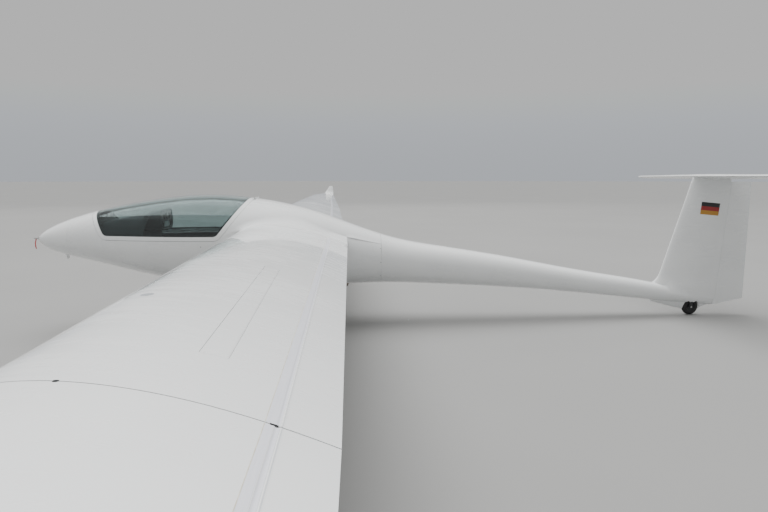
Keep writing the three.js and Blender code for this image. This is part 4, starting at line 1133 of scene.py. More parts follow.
grey_tones = rgb(0.26, 0.28, 0.30), rgb(0.36, 0.38, 0.40)
GREY_PLASTIC = mottled("grey_plastic", grey_tones, 300.0, Roughness=0.4)
FLAT_CAP = [
    (1.0, -0.002), (1.0, 0.0004), (0.95, 0.0008), (0.72, 0.0008), (0.68, 0.0002), (0.62, 0.0006),
    (0.05, 0.0007),
]
DOT = [(1.0, -0.001), (1.0, 0.0002), (0.8, 0.0004), (0.1, 0.0004)]
pair("fuel_cap", button(on_wing(2.600, 4.255), 0.027, FLAT_CAP), "airframe", GREY_PLASTIC)
pair("rigging_pin_plug", button(on_wing(2.727, JOINT_Y), 0.0075, DOT, 24), "airframe", RUBBER_AND_GAP_SHADE)
pair("static_port", button(on_body(1.913, 0.982), 0.0045, DOT, 20), "airframe", RUBBER_AND_GAP_SHADE)
for number, height in enumerate((0.906, 0.749, 0.591), 1):
    screw = button(on_body(BOOM_SEAM - 0.009, height), 0.0055, DOT, 20)
    pair(f"cowling_screw_{number}", screw, "airframe", GREY_PLASTIC)

# %% [markdown]
# ## Winglets
#
# The tip bends upwards through about eighty degrees and ends in a small upright blade. Six rows
# give the bend, and a spline through each column of the table makes it one smooth sweep.

# %% Winglets
WINGLET = np.array([  # y, rise, leading edge x, trailing edge x, lean in degrees
    (12.200, 0.000, 2.830, 3.160, 0),
    (12.290, 0.008, 2.858, 3.160, 18),
    (12.365, 0.034, 2.890, 3.160, 38),
    (12.415, 0.082, 2.922, 3.158, 58),
    (12.445, 0.140, 2.954, 3.154, 72),
    (12.492, 0.270, 3.035, 3.145, 78),
])
numbers = np.arange(6.0)
t = np.concatenate([np.linspace(0, 4.9, 44), 4.9 + 0.1 * np.sin(np.linspace(0.15, 1, 8) * np.pi / 2)])
y, rise, lead, trail, lean = [spline(numbers, WINGLET[:, k])(t)[:, None] for k in range(5)]
thin = np.sqrt(np.clip(1 - ((t - 4.9) / 0.1001).clip(0) ** 2, 0, 1))[:, None]
chord = trail - lead
lead = lead + chord * 0.22 * (1 - thin)
chord = (trail - lead) * (0.35 + 0.65 * thin)
root_rise = (3.160 - 2.830) * math.tan(math.radians(5.5))


def winglet_side(weights, u):
    height = section_height(weights, u) * chord * 0.8 * thin + (1 - u) * root_rise * chord / 0.330
    turn = np.radians(lean)
    return xyz(lead + chord * u, y - height * np.sin(turn), WING[-1, 3] + rise + height * np.cos(turn))


winglet = [winglet_side(UPPER, tip_u[None, ::-1]), winglet_side(LOWER, tip_u[None, 1:])]
winglet = np.concatenate(winglet, axis=1)
pair("winglet_skin", loft(winglet), "airframe", WHITE, ["winglet"])
print("wing tip at", round(float(winglet[..., 1].max()), 4))

# %% [markdown]
# ## Fairings where one skin runs into another
#
# Wing and body do not simply cross: a fairing carries one surface smoothly into the other. It is a
# patch of cubic curves. Each curve leaves the wing along the wing's own skin and lands on the body
# along the body's skin, so neither end shows a crease. The formula is Hermite's: a blend of two end
# points and two end slopes by four cubics of t.

# %% Blend patch
def blend_patch(start, start_slope, end, end_slope, count=16, pull=1.0):
    """Hermite curves from `start` to `end`; slopes are as long as the gap, and `pull` shortens the last."""
    gap = np.linalg.norm(end - start, axis=-1, keepdims=True)
    first = unit(start_slope) * gap
    last = unit(end_slope) * gap * pull
    t = np.linspace(0, 1, count)[:, None, None]
    return (
        (2 * t**3 - 3 * t**2 + 1) * start + (t**3 - 2 * t**2 + t) * first
        + (3 * t**2 - 2 * t**3) * end + (t**3 - t**2) * last
    )


# %% [markdown]
# ## Wing root fairing
#
# Over the wing the fairing rises in a long hump up the body's shoulder; the curve where it ends on
# the body was read off as stations and heights. Behind the wing its rear edge goes on as a
# fine ledge that runs out at the seam of the tail boom.

# %% Wing root fairing
FAIRING_OVER = np.array([  # chord share, station and height where the fairing lands on the body
    (0.00, 2.165, 1.105), (0.04, 2.235, 1.165), (0.12, 2.330, 1.222), (0.30, 2.516, 1.276),
    (0.50, 2.742, 1.292), (0.72, 2.988, 1.248), (0.88, 3.215, 1.142), (1.00, 3.449, 1.044),
])
FAIRING_UNDER = np.array([
    (0.00, 2.165, 1.105), (0.06, 2.190, 1.040), (0.20, 2.400, 0.945), (0.45, 2.720, 0.905),
    (0.70, 3.020, 0.920), (0.88, 3.270, 0.975), (1.00, 3.449, 1.044),
])


def landing(table, u):
    """Station, height and angle on the body for each chord share, and the way along the skin."""
    x = spline(table[:, 0], table[:, 1])(u)
    z = spline(table[:, 0], table[:, 2])(u)
    angle = angle_at_height(x, z)
    point = body(x, angle, 0.0004)
    along = np.gradient(point, axis=0)
    return point, np.cross(body_normal(x, angle), along)


root_u = cosine_spaced(0, 1, 56)
FORWARDS = np.array([-1.0, 0.0, 0.0])
patches = []
for side, table in ((+1, FAIRING_OVER), (-1, FAIRING_UNDER)):
    wing_edge = wing_skin(side, root_u, ROOT_Y - 0.0012)
    inwards = wing_skin(side, root_u, ROOT_Y - 0.0012) - wing_skin(side, root_u, ROOT_Y + 0.3)
    end, slope = landing(table, root_u)
    slope = unit(slope * side * np.sign(slope[:, 2:]))
    fade = 0.12 if side > 0 else 0.30
    pull = np.clip((1 - root_u) / fade, 0, 1)[:, None] ** 1.5
    nose = np.clip(1 - root_u / 0.10, 0, 1)[:, None] ** 2
    slope = between(slope, FORWARDS, nose)
    patches.append(blend_patch(wing_edge, inwards, end, slope, pull=pull))
over, under = patches
fairing = np.concatenate([over[:, ::-1], under[:, 1:]], axis=1)
skin = fairing.reshape(-1, 3), [quads(*fairing.shape[:2]).reshape(-1, 4)]
rear_strip = np.stack([over[:, -1], under[:, -1]], axis=1)
edge_strip = rear_strip.reshape(-1, 3), [quads(*rear_strip.shape[:2]).reshape(-1, 4)[:, ::-1]]
pair("wing_root_fairing", joined(skin, edge_strip), "airframe", WHITE, turn=False, sharp=50)

# %% Ledge behind the wing
ledge_t = np.linspace(0, 1, 26)[:, None]
ledge_x = between(3.440, BOOM_SEAM - 0.002, ledge_t)
ledge_z = np.interp(ledge_x, [3.440, 3.449, 3.653, 3.840], [1.0465, 1.0445, 0.997, 0.955])
ledge_angle = angle_at_height(ledge_x, ledge_z)
proud = 0.0015 + 0.0085 * (1 - ledge_t) ** 1.2 * np.clip(ledge_t / 0.14, 0, 1)
rise = np.array([0.13, 0.075, 0.03, 0.008, 0.0, -0.010, -0.018, 0.13])
reach = np.array([-0.0003, 0.25, 0.68, 0.95, 1.0, 0.93, 0.0, 0.0])
inset = np.where(reach > 0, -proud * reach, 0.006)
inset[:, 0] = -0.0003
ledge = body(ledge_x, ledge_angle + rise, inset)
pair("root_ledge", loft(ledge), "airframe", WHITE)

# %% [markdown]
# ## Tail boom, fin and rudder
#
# Behind the cowling seam the body narrows to a slim boom. The fin grows out of it with a soft
# fillet, and the rudder hangs on the fin's rear edge along a slanting hinge line, whose
# half-round nose fits the fin's hollow edge.

# %% Tail geometry
FIN = {"base": 0.300, "top": 1.720, "lead_base": 7.251, "lead_top": 7.665, "section": 0.13}
RUDDER_LOW, RUDDER_TOP = np.array([8.040, 0.120]), np.array([8.153, 1.655])
RUDDER_RADII = (0.0435, 0.0285)
TRAIL_LOW, TRAIL_TOP = np.array([8.434, 0.198]), np.array([8.421, 1.655])


def tail_section(u):
    """Half thickness of fin and stabilizer as a share of the chord."""
    return section_height((FIN["section"],) * 4, u)


def fin_lead(z):
    """Leading edge: a straight line, swept forward by a cube near the boom."""
    line = between(FIN["lead_base"], FIN["lead_top"], (z - FIN["base"]) / (FIN["top"] - FIN["base"]))
    flare = (0.560 - np.clip(z, 0.380, 0.560)) / 0.180
    return line - 0.110 * flare**3


def rudder_trail(z):
    """Trailing edge: a straight line."""
    return between(TRAIL_LOW[0], TRAIL_TOP[0], (z - TRAIL_LOW[1]) / (TRAIL_TOP[1] - TRAIL_LOW[1]))


def fin_skin(side, u, z):
    """Fin and rudder point at chord share u of the horizontal section at height z."""
    u, z = np.broadcast_arrays(u, z)
    lead = fin_lead(z)
    chord = rudder_trail(z) - lead
    return xyz(lead + chord * u, side * tail_section(u) * chord, z)


def rudder_hinge(z):
    """Hinge point at a height, and the radius of the rudder's nose there."""
    rise = (z - RUDDER_LOW[1]) / (RUDDER_TOP[1] - RUDDER_LOW[1])
    return xyz(between(RUDDER_LOW[0], RUDDER_TOP[0], rise), 0, z), between(*RUDDER_RADII, rise)


# %% Tail boom
tail_x = np.full_like(TURN, 8.0)
for _ in range(6):
    at = body(tail_x, TURN)
    axis, radius = rudder_hinge(at[:, 2])
    tail_x = axis[:, 0] - np.sqrt((radius + COVE) ** 2 - np.minimum(np.abs(at[:, 1]), radius) ** 2)
boom_start = BOOM_SEAM + SEAM
boom = body(between(boom_start, tail_x, np.linspace(0, 1, 120)[:, None]), TURN)
caps = []
for width in (0.8, 0.55, 0.3, 0.05):
    ring = boom[-1] * [1, width, 1]
    ring[:, 0] = axis[:, 0] - np.sqrt((radius + COVE) ** 2 - ring[:, 1] ** 2)
    caps.append(ring)
boom_lip = body(np.full((1, 1), boom_start), TURN, 0.004)
boom = np.concatenate([boom_lip, boom, np.stack(caps)])
boom_piece = piece("tail_boom_skin", loft(boom), "airframe", WHITE, ["tail_boom_and_fin"])

# %% Fin
def fin_foot(x):
    """Height of the fin's hidden lower edge, just inside the boom's back."""
    return np.interp(x, [7.10, 8.05], [0.340, 0.195])


fin_v = np.linspace(0, 1, 60)
fin_shares = front_spaced(1.0, 52)


def fin_at(side, share, v):
    """Fin point by share of the fixed chord and share of the height above the hidden foot."""
    z = between(fin_foot(7.14 + 0.9 * share), FIN["top"], v)
    axis, radius = rudder_hinge(z)
    reach = np.sqrt((radius + COVE) ** 2 - radius**2)
    lead = fin_lead(z)
    u = share * (axis[..., 0] - reach - lead) / (rudder_trail(z) - lead)
    return fin_skin(side, u, z)


starboard = fin_at(+1, fin_shares[None, ::-1], fin_v[:, None])
port = fin_at(-1, fin_shares[None, 1:], fin_v[:, None])
axis, radius = rudder_hinge(starboard[:, :1, 2])
hollow_y = np.linspace(-0.9, 0.9, 13) * starboard[:, :1, 1]
hollow_x = axis[..., 0] - np.sqrt((radius + COVE) ** 2 - hollow_y**2)
hollow = xyz(hollow_x, hollow_y, axis[..., 2])
piece("fin_skin", loft(np.concatenate([starboard, port, hollow], axis=1)), "airframe", WHITE)

# %% Fin fillet
edges = []
for side, share in ((+1, fin_shares[::-1]), (-1, fin_shares[1:])):
    ahead = (1 - share) ** 8
    side_reach = 0.055 + 0.07 * ahead
    x_guess = 7.15 + 0.88 * share
    v = (crown(x_guess) + side_reach - fin_foot(x_guess)) / (FIN["top"] - fin_foot(x_guess))
    spot = fin_at(side, share, v)
    slope = fin_at(side, share, v - 0.01) - spot
    x = spot[:, 0] - 0.115 * ahead
    half = half_width(x)
    y = np.minimum(np.abs(spot[:, 1]) + 0.045 * (1 - ahead), 0.985 * half) * np.where(share > 0, 1, 0)
    angle = np.arccos(np.clip(y / half, 0, 1) ** (ROUND / 2))
    angle = angle if side > 0 else np.pi - angle
    land = body(x, angle, 0.0004)
    forward = unit(body(x - 1e-3, angle) - body(x, angle))
    around = body(x, angle - side * 1e-3) - body(x, angle)
    downward = unit(np.where((share > 0)[:, None], -around * np.sign(around[:, 2:]), 0))
    edges.append((spot, slope, land, between(downward, forward, ahead[:, None])))
fillet = blend_patch(*[np.concatenate(group) for group in zip(*edges)], count=14)
fillet_cells = quads(*fillet.shape[:2]).reshape(-1, 4)
fillet_shape = fillet.reshape(-1, 3), [fillet_cells]
piece("fin_fillet", fillet_shape, "airframe", WHITE, turn=False, sharp=60)

# %% Rudder
rudder_v = np.linspace(0, 1, 50)


def rudder_skin(side, u, v):
    """Rudder point: heights run from the sloping lower edge to the level top."""
    u, v = np.broadcast_arrays(u, v)
    foot = np.interp(u, [0.68, 1.0], [0.129, 0.199])
    return fin_skin(side, u, between(foot, RUDDER_TOP[1], v))


z = between(0.130, RUDDER_TOP[1], rudder_v)
hinge, radius = rudder_hinge(z)
lead = fin_lead(z)
at_hinge = (hinge[:, 0] - lead) / (rudder_trail(z) - lead)
loops = moving_surface(rudder_skin, rudder_v, at_hinge, at_hinge - 0.02, hinge, radius)
piece("rudder_skin", loft(loops), "rudder", WHITE, ["rudder"])

# %% [markdown]
# ## Tail wheel
#
# The tail wheel turns with the rudder on an upright post, and half of it hides in the boom. The
# hollow for it is the room that the turning wheel sweeps: at each height a flat shape with round
# ends, as far as the wheel swings, and straight flanks. A Boolean cuts it out of the boom and out of
# the two fins of fairing ahead of and behind the wheel, because hand-made grids would need
# rows led round a shape this awkward.

# %% Recess for the tail wheel
TAIL_X, TAIL_RADIUS, SWING = 7.743, 0.100, math.radians(24)


def swept_reach(bearing, length, width):
    """Reach of a block swung to and fro about its middle: its corner circle, or its turned flank."""
    beyond = np.maximum(np.arcsin(np.abs(np.sin(bearing))) - SWING, 1e-3)
    return np.minimum(np.hypot(length, width), width / np.sin(beyond))


recess_z = np.concatenate([np.linspace(0.0, 0.205, 30), [0.2055, 0.2200]])[:, None]
wheel_half = np.sqrt(np.maximum(0.106**2 - (recess_z - TAIL_RADIUS) ** 2, 1e-6))
recess_reach = np.maximum(swept_reach(TURN, wheel_half, 0.0305), 0.0475)
recess_x = TAIL_X - MIDDLE + recess_reach * np.cos(TURN)
recess = xyz(recess_x, recess_reach * np.sin(TURN), recess_z)
cutter = add_object("recess_cutter", make_mesh("recess_cutter", *loft(recess)))


def hollowed(thing):
    """Takes the recess out of a piece and keeps the result as its mesh."""
    cut = thing.modifiers.new("recess", "BOOLEAN")
    cut.object, cut.operation, cut.solver = cutter, "DIFFERENCE", "EXACT"
    mesh = bpy.data.meshes.new_from_object(evaluated(thing))
    thing.modifiers.clear()
    thing.data = mesh
    shade(mesh)
    print(thing.name, "hollowed:", len(mesh.polygons), "faces")


# %% Fairings round the tail wheel
def skeg(stations_x, low, width):
    """Keel-shaped fairing: half an oval hangs from the boom's belly down to the low line."""
    a = np.linspace(0, np.pi, 25)
    x = stations_x[:, None]
    top = belly(x) + 0.030
    y = width(x) * power(np.cos(a), 0.75)
    z = top - (top - low(x)) * np.sin(a) ** 0.85
    return loft(xyz(x, y, z))


front_skeg = skeg(
    np.linspace(7.224, 7.740, 40),
    lambda x: np.interp(x, [7.224, 7.443, 7.683, 7.740], [0.180, 0.122, 0.062, 0.060]),
    lambda x: np.interp(x, [7.224, 7.300, 7.443, 7.683, 7.740], [0.004, 0.014, 0.028, 0.038, 0.038]),
)
rear_skeg = skeg(
    np.linspace(7.750, 7.957, 24),
    lambda x: np.interp(x, [7.750, 7.803, 7.957], [0.062, 0.064, 0.121]),
    lambda x: np.interp(x, [7.750, 7.803, 7.957], [0.036, 0.034, 0.006]),
)
front_fairing = piece("tail_skeg_front_skin", front_skeg, "airframe", WHITE, ["tail_skeg_front"])
rear_fairing = piece("tail_skeg_rear_skin", rear_skeg, "airframe", WHITE, ["tail_skeg_rear"])
for thing in (boom_piece, front_fairing, rear_fairing):
    hollowed(thing)
bpy.data.objects.remove(cutter)

# %% [markdown]
# ## Tyres and wheels
#
# A tyre is a turned part: one closed profile carried round the axle. The profile is an oval with
# square shoulders, and the main tyres have grooves round the tread. Rubber is dark but not black,
# with patches of dust, where it is rougher, and smoother patches between.

# %% Rubber and painted steel
TYRE = Finish("tyre_rubber", Roughness=0.7)
tyre_tones = rgb(0.016, 0.016, 0.017), rgb(0.045, 0.042, 0.038)
tyre_dust = TYRE.noise(TYRE.place(), 26.0, 5.0, 0.6)
tyre_grain = TYRE.noise(TYRE.place(), 420.0, 2.0)
TYRE.feed(Base_Color=TYRE.mix(TYRE.ramp(tyre_dust, 0.40, 0.85), *tyre_tones))
TYRE.feed(Roughness=TYRE.ramp(tyre_dust, 0.3, 0.7, 0.55, 0.85))
TYRE.bump(tyre_grain, 0.0004, 0.4)


def paint(name, tone, worn, rough=0.45, spread=0.62):
    """Sprayed paint: orange peel, dull patches, and bare spots where noise is high."""
    finish = Finish(name, Roughness=rough)
    place = finish.place()
    patch = finish.noise(place, 14.0, 6.0, 0.65)
    peel = finish.noise(place, 240.0, 2.0)
    finish.feed(Base_Color=finish.mix(finish.ramp(patch, spread, spread + 0.06), tone, worn))
    finish.feed(Roughness=finish.ramp(patch, 0.3, 0.7, rough - 0.12, rough + 0.15))
    finish.bump(peel, 0.0003, 0.3)
    return finish


STEEL = paint("grey_painted_steel", rgb(0.34, 0.36, 0.38), rgb(0.22, 0.21, 0.20))
BLACK = paint("black_painted_metal", rgb(0.030, 0.031, 0.033), rgb(0.11, 0.11, 0.11), 0.42, 0.68)
RIM_METAL = bare_metal("cast_rim", rgb(0.56, 0.57, 0.58), 0.42, (8.0, 8.0, 8.0))
BRIGHT = bare_metal("bright_steel", rgb(0.66, 0.66, 0.65), 0.26)


# %% Wheels
GEAR_X, AXLE_Z = 2.480, 0.180


def tyre_profile(radius, half, bead, grooves=()):
    """Oval of exponent 2.6 from bead over tread to bead; each groove lowers the tread by 3 mm."""
    a = np.linspace(-1.05, np.pi + 1.05, 150)
    middle = bead + (radius - bead) * 0.30
    offset = half * power(np.cos(a), 2 / 2.6)
    up = np.where(np.sin(a) > 0, radius - middle, (middle - bead) * 1.1)
    r = middle + up * power(np.sin(a), 2 / 2.6)
    for groove in grooves:
        r = r - 0.003 * (np.abs(np.abs(offset) - groove) < 0.0017) * (r > radius - 0.02)
    inner = np.stack([np.full(5, bead + 0.0005), np.linspace(-0.5, 0.5, 5) * half], axis=1)
    return np.concatenate([np.stack([r, offset], axis=1), inner])


RIM_PROFILE = np.array([  # radius as a share of the bead, offset as a share of half the width
    (0.172, -0.50), (0.32, -0.50), (0.36, -0.42), (0.38, -0.16), (0.80, -0.16), (0.89, -0.46),
    (0.975, -0.54), (0.993, -0.62), (0.993, 0.62), (0.975, 0.54), (0.89, 0.46), (0.80, 0.06),
    (0.38, 0.06), (0.36, 0.42), (0.32, 0.50), (0.172, 0.50),
])
MAIN_TYRE = {"radius": 0.180, "half": 0.063, "bead": 0.096}
TAIL_TYRE = {"radius": TAIL_RADIUS, "half": 0.025, "bead": 0.052}


def ring_of(radius, count):
    """Pairs of coordinates evenly spaced round a circle."""
    a = bearings(count)
    return radius * np.stack([np.cos(a), np.sin(a)], axis=1)


def bolts(x, y, z, ring, radius, count, height):
    """Hexagon heads in a circle about an axle, standing out along Y."""
    heads = [prism(ring_of(radius, 6) + spot + [x, z], 1, y, y + height) for spot in ring_of(ring, count)]
    return joined(*heads)


main_axle = (GEAR_X, 0.575, AXLE_Z)
main_tyre = turned(tyre_profile(**MAIN_TYRE, grooves=(0.0, 0.013, 0.026)), main_axle, 96)
main_rim = turned(RIM_PROFILE * [MAIN_TYRE["bead"], MAIN_TYRE["half"]], main_axle, 72)
rim_bolts = joined(*[
    bolts(GEAR_X, main_axle[1] + shift, AXLE_Z, 0.056, 0.0060, 6, 0.007) for shift in (0.003, -0.017)
])
pair("main_tyre_ribbed", main_tyre, "main_wheel", TYRE, ["main_tyre"])
pair("main_rim_cast", main_rim, "main_wheel", RIM_METAL, ["main_rim"])
pair("main_rim_bolts", rim_bolts, "main_wheel", BRIGHT)
tail_axle = (TAIL_X, 0.0, TAIL_RADIUS)
tail_tyre = turned(tyre_profile(**TAIL_TYRE), tail_axle, 72)
tail_rim = RIM_PROFILE * [TAIL_TYRE["bead"], TAIL_TYRE["half"]]
tail_rim[[0, -1], 0] = 0.0078
piece("tail_tyre_smooth", tail_tyre, "tail_wheel", TYRE, ["tail_tyre"])
piece("tail_rim_cast", turned(tail_rim, tail_axle, 48), "tail_wheel", BLACK, ["tail_rim"])
piece("tail_rim_bolts", bolts(TAIL_X, 0.0015, TAIL_RADIUS, 0.031, 0.0035, 5, 0.004), "tail_wheel", BRIGHT)

# %% Tail fork
cheek_a = np.linspace(0, np.pi, 15)
cheek_foot = [TAIL_X, TAIL_RADIUS] - 0.0205 * np.stack([np.cos(cheek_a), np.sin(cheek_a)], axis=1)
cheek_line = np.concatenate([cheek_foot, [[TAIL_X + 0.022, 0.209], [TAIL_X - 0.022, 0.209]]])
fork = joined(
    prism(cheek_line, 1, 0.030, 0.037),
    prism(cheek_line, 1, -0.037, -0.030),
    block((TAIL_X - 0.022, TAIL_X + 0.022), (-0.037, 0.037), (0.2065, 0.2140)),
    bar((TAIL_X, 0, 0.213), (TAIL_X, 0, 0.246), 0.012, 24),
)
bevelled(piece("tail_fork_welded", fork, "tail_steering", BLACK, ["tail_fork"]), 0.0012)
axle_parts = joined(
    bar((TAIL_X, -0.0415, TAIL_RADIUS), (TAIL_X, 0.0415, TAIL_RADIUS), 0.0070, 20),
    bolts(TAIL_X, 0.0372, TAIL_RADIUS, 0.0, 0.0105, 1, 0.0050),
    bolts(TAIL_X, -0.0422, TAIL_RADIUS, 0.0, 0.0105, 1, 0.0050),
)
piece("tail_axle", axle_parts, "tail_steering", BRIGHT)

# %% [markdown]
# ## Cockpit lining and floor
#
# Inside, the shell is lined with dark felt and the floor is carpeted. Both are surfaces of the
# body again, drawn in by the thickness of the shell. Felt is a mat of fine fibres, so its
# material mixes a fine noise for the fibres with a broad one for wear, and it needs no weave.

# %% Felt, carpet and moulded plastic
def soft_cloth(name, tone, light, fibre=260.0, depth=0.0006):
    """Felt or carpet: fibres as fine noise, worn lighter patches as broad noise, and a soft sheen."""
    finish = Finish(name, Roughness=0.9, Sheen_Weight=0.12, Sheen_Roughness=0.5)
    place = finish.place()
    hair = finish.noise(place, fibre, 4.0, 0.7)
    wear = finish.noise(place, 6.0, 4.0)
    finish.feed(Base_Color=finish.mix(finish.ramp(hair * 0.5 + wear * 0.5, 0.38, 0.66), tone, light))
    finish.bump(hair, depth, 0.8)
    return finish


LINING = soft_cloth("dark_felt", rgb(0.012, 0.013, 0.015), rgb(0.028, 0.030, 0.033))
CARPET = soft_cloth("floor_carpet", rgb(0.022, 0.023, 0.026), rgb(0.050, 0.050, 0.052), 180.0, 0.0012)
MOULDED = paint("moulded_black_plastic", rgb(0.014, 0.015, 0.017), rgb(0.026, 0.027, 0.029), 0.5, 0.6)


def inside_width(x, z, inset):
    """Half width of the room at station x and height z, from the body's superellipse."""
    rise = half_height(x, z > widest(x)) - inset
    share = np.clip(np.abs(z - widest(x)) / rise, 0, 0.999)
    return (half_width(x) - inset) * (1 - share**ROUND) ** (1 / ROUND)


def floor_z(x):
    return 0.652 + np.maximum(1.250 - x, 0) * 0.34


# %% Lining, floor and bulkhead
lining_x = np.linspace(0.745, 2.120, 70)
sill = angle_at_height(lining_x, np.minimum(canopy_cut(0.050)(lining_x), crown(lining_x) - 0.03))
foot = angle_at_height(lining_x, np.maximum(floor_z(lining_x) - 0.040, belly(lining_x) + 0.012))
lining_angle = foot + (sill - foot) * np.linspace(0, 1, 26)[:, None]
lining = plate(body(lining_x, lining_angle, 0.0206), body(lining_x, lining_angle, 0.0236))
pair("cockpit_lining", lining, "airframe", LINING)

floor_x = np.linspace(0.722, 2.090, 60)[:, None]
carpet_y = inside_width(floor_x, floor_z(floor_x), 0.0242) * np.linspace(-1, 1, 41)
carpet_top = xyz(floor_x, carpet_y, floor_z(floor_x))
carpet = plate(carpet_top, carpet_top - [0, 0, 0.0115])
piece("cockpit_carpet", carpet, "airframe", CARPET, ["cockpit_floor"])

lean = (2.470 - 2.095) / (1.520 - 0.440)
wall_z = np.linspace(0.500, 1.440, 40)[:, None]
wall_x = 2.096 + (wall_z - 0.440) * lean
wall_y = inside_width(wall_x, wall_z, 0.0212) * np.linspace(-1, 1, 45)
ribs = 0.004 * np.exp(-((np.abs(wall_y) - 0.26) / 0.012) ** 2)
wall = xyz(wall_x - ribs, wall_y, wall_z)
piece("bulkhead_lined", plate(wall, wall + [0.012, 0, 0]), "airframe", LINING, ["rear_bulkhead"])

# %% Front wall and glare shield
FRONT_X = 0.748
front_z = np.linspace(float(floor_z(FRONT_X)) - 0.02, float(crown(FRONT_X)) - 0.022, 30)[:, None]
front_y = inside_width(FRONT_X, front_z, 0.0212) * np.linspace(-1, 1, 31)
front = xyz(FRONT_X, front_y, front_z)
piece("front_wall", plate(front, front + [0.006, 0, 0]), "airframe", LINING)

shield_x = np.linspace(0.752, 1.275, 50)[:, None]
shield_s = np.linspace(-1, 1, 61)
shield_low = 1.080 - 0.012 * (shield_x - 0.752)
shield_top = np.interp(shield_x, [0.752, 0.86, 1.00, 1.15, 1.275], [1.215, 1.243, 1.268, 1.290, 1.300])
shield_y = inside_width(shield_x, shield_low, 0.036) * shield_s
shield_z = shield_low + (shield_top - shield_low) * (1 - np.abs(shield_s) ** 2.6)
shield = xyz(shield_x, shield_y, shield_z)
piece("glare_shield", plate(shield, shield - [0, 0, 0.004]), "airframe", LINING)
piece("glare_shield_lip", tube(along_curve(shield[-1, ::6], 90), 0.006, 12), "airframe", RUBBER_AND_GAP_SHADE)

# %% [markdown]
# ## Seats
#
# Each seat is a moulded shell, bent once between pan and back, with a padded cushion on the pan,
# one on the back and a headrest. A cushion is stuffed cloth, so its crown comes from a cloth
# simulation: a rounded slab is meshed evenly, swells under a little pressure with gravity off,
# and no point may move further than a few millimetres. The sewn channels are pressed in
# afterwards, because the even mesh would wipe them out. The port seat is the mirror image.

# %% Seat cloth
def woven(name, tone, light, pitch=0.0022):
    """Plain weave on object coordinates: two crossed waves a thread apart, in colour and in height."""
    finish = Finish(name, Roughness=0.85, Sheen_Weight=0.25)
    place = finish.place()
    waves = []
    for direction, shift in (("Y", 0.0), ("DIAGONAL", 1.7)):
        settings = {"wave_type": "BANDS", "bands_direction": direction, "wave_profile": "SIN"}
        sockets = {"Vector": place, "Scale": 0.314 / pitch, "Phase Offset": shift}
        sockets |= {"Distortion": 0.6, "Detail": 1.0}
        waves.append(finish.node("ShaderNodeTexWave", settings, sockets).out("Fac"))
    wear = finish.noise(place, 7.0, 5.0, 0.6)
    weave = waves[0] * 0.5 + waves[1] * 0.5
    finish.feed(Base_Color=finish.mix(finish.ramp(weave * 0.45 + wear * 0.55, 0.3, 0.75), tone, light))
    finish.feed(Roughness=finish.ramp(wear, 0.3, 0.7, 0.75, 0.95))
    finish.bump(weave, 0.0006, 0.7)
    return finish


SEAT_CLOTH = woven("seat_cloth", rgb(0.028, 0.031, 0.037), rgb(0.070, 0.076, 0.088))
WEBBING = woven("harness_webbing", rgb(0.030, 0.045, 0.085), rgb(0.060, 0.080, 0.130), 0.0016)


# %% Swelling a cushion
def swollen(size, cap):
    """Rounded slab about the origin, blown up by cloth simulation, at most by `cap`."""
    pad = add_object("pad_form", make_mesh("pad_form", *pillow((0, 0, 0), size, 7.0, 30, 120)))
    voxels = pad.modifiers.new("voxels", "REMESH")
    voxels.mode, voxels.voxel_size = "VOXEL", 0.006
    mesh = bpy.data.meshes.new_from_object(evaluated(pad))
    pad.modifiers.clear()
    pad.data = mesh
    count = len(mesh.vertices)
    start = np.empty(count * 3, np.float32)
    mesh.vertices.foreach_get("co", start)
    start = start.reshape(-1, 3)
    cloth = pad.modifiers.new("stuffing", "CLOTH")
    cloth.settings.use_pressure = True
    cloth.settings.uniform_pressure_force = 4.0
    cloth.settings.effector_weights.gravity = 0.0
    for number in range(1, 21):
        bpy.context.scene.frame_set(number)
    result = evaluated(pad).to_mesh()
    moved = np.empty(count * 3, np.float32)
    result.vertices.foreach_get("co", moved)
    moved = moved.reshape(-1, 3)
    bpy.context.scene.frame_set(1)
    shift = moved - start
    length = np.linalg.norm(shift, axis=1, keepdims=True)
    shift *= np.minimum(1, cap / np.maximum(length, 1e-9))
    corners = np.empty(len(mesh.loops), np.int32)
    mesh.loops.foreach_get("vertex_index", corners)
    totals = np.empty(len(mesh.polygons), np.int32)
    mesh.polygons.foreach_get("loop_total", totals)
    bpy.data.objects.remove(pad)
    groups = [corners[np.repeat(totals, totals) == n].reshape(-1, n) for n in np.unique(totals)]
    most = round(float(length.max()) * 1000, 1)
    print("cushion", np.round(size, 3), "points", count, "most moved mm", most)
    return start + shift, groups


def channels(points, lines, width=0.005, depth=0.006, axis=0):
    """Sewn channels: a dent shaped like a bell curve across each line, on both faces."""
    dent = sum(np.exp(-((points[:, axis] - line) / width) ** 2) for line in lines)
    return points * np.stack([1 + 0 * dent, 1 + 0 * dent, 1 - depth * dent / 0.022], axis=1)


def placed(points, origin, along, normal):
    """Pad coordinates (length, width, thickness) turned into place: width runs along Y."""
    along = np.array([along[0], 0, along[1]]) / np.hypot(*along)
    normal = np.array([normal[0], 0, normal[1]]) / np.hypot(*normal)
    return np.array(origin) + points[:, :1] * along + points[:, 1:2] * [0, 1, 0] + points[:, 2:] * normal


# %% Cushions
SEAT_Y = 0.261
PAN_FRONT, PAN_REAR, BACK_TOP = np.array([1.500, 0.742]), np.array([1.868, 0.700]), np.array([2.176, 1.200])


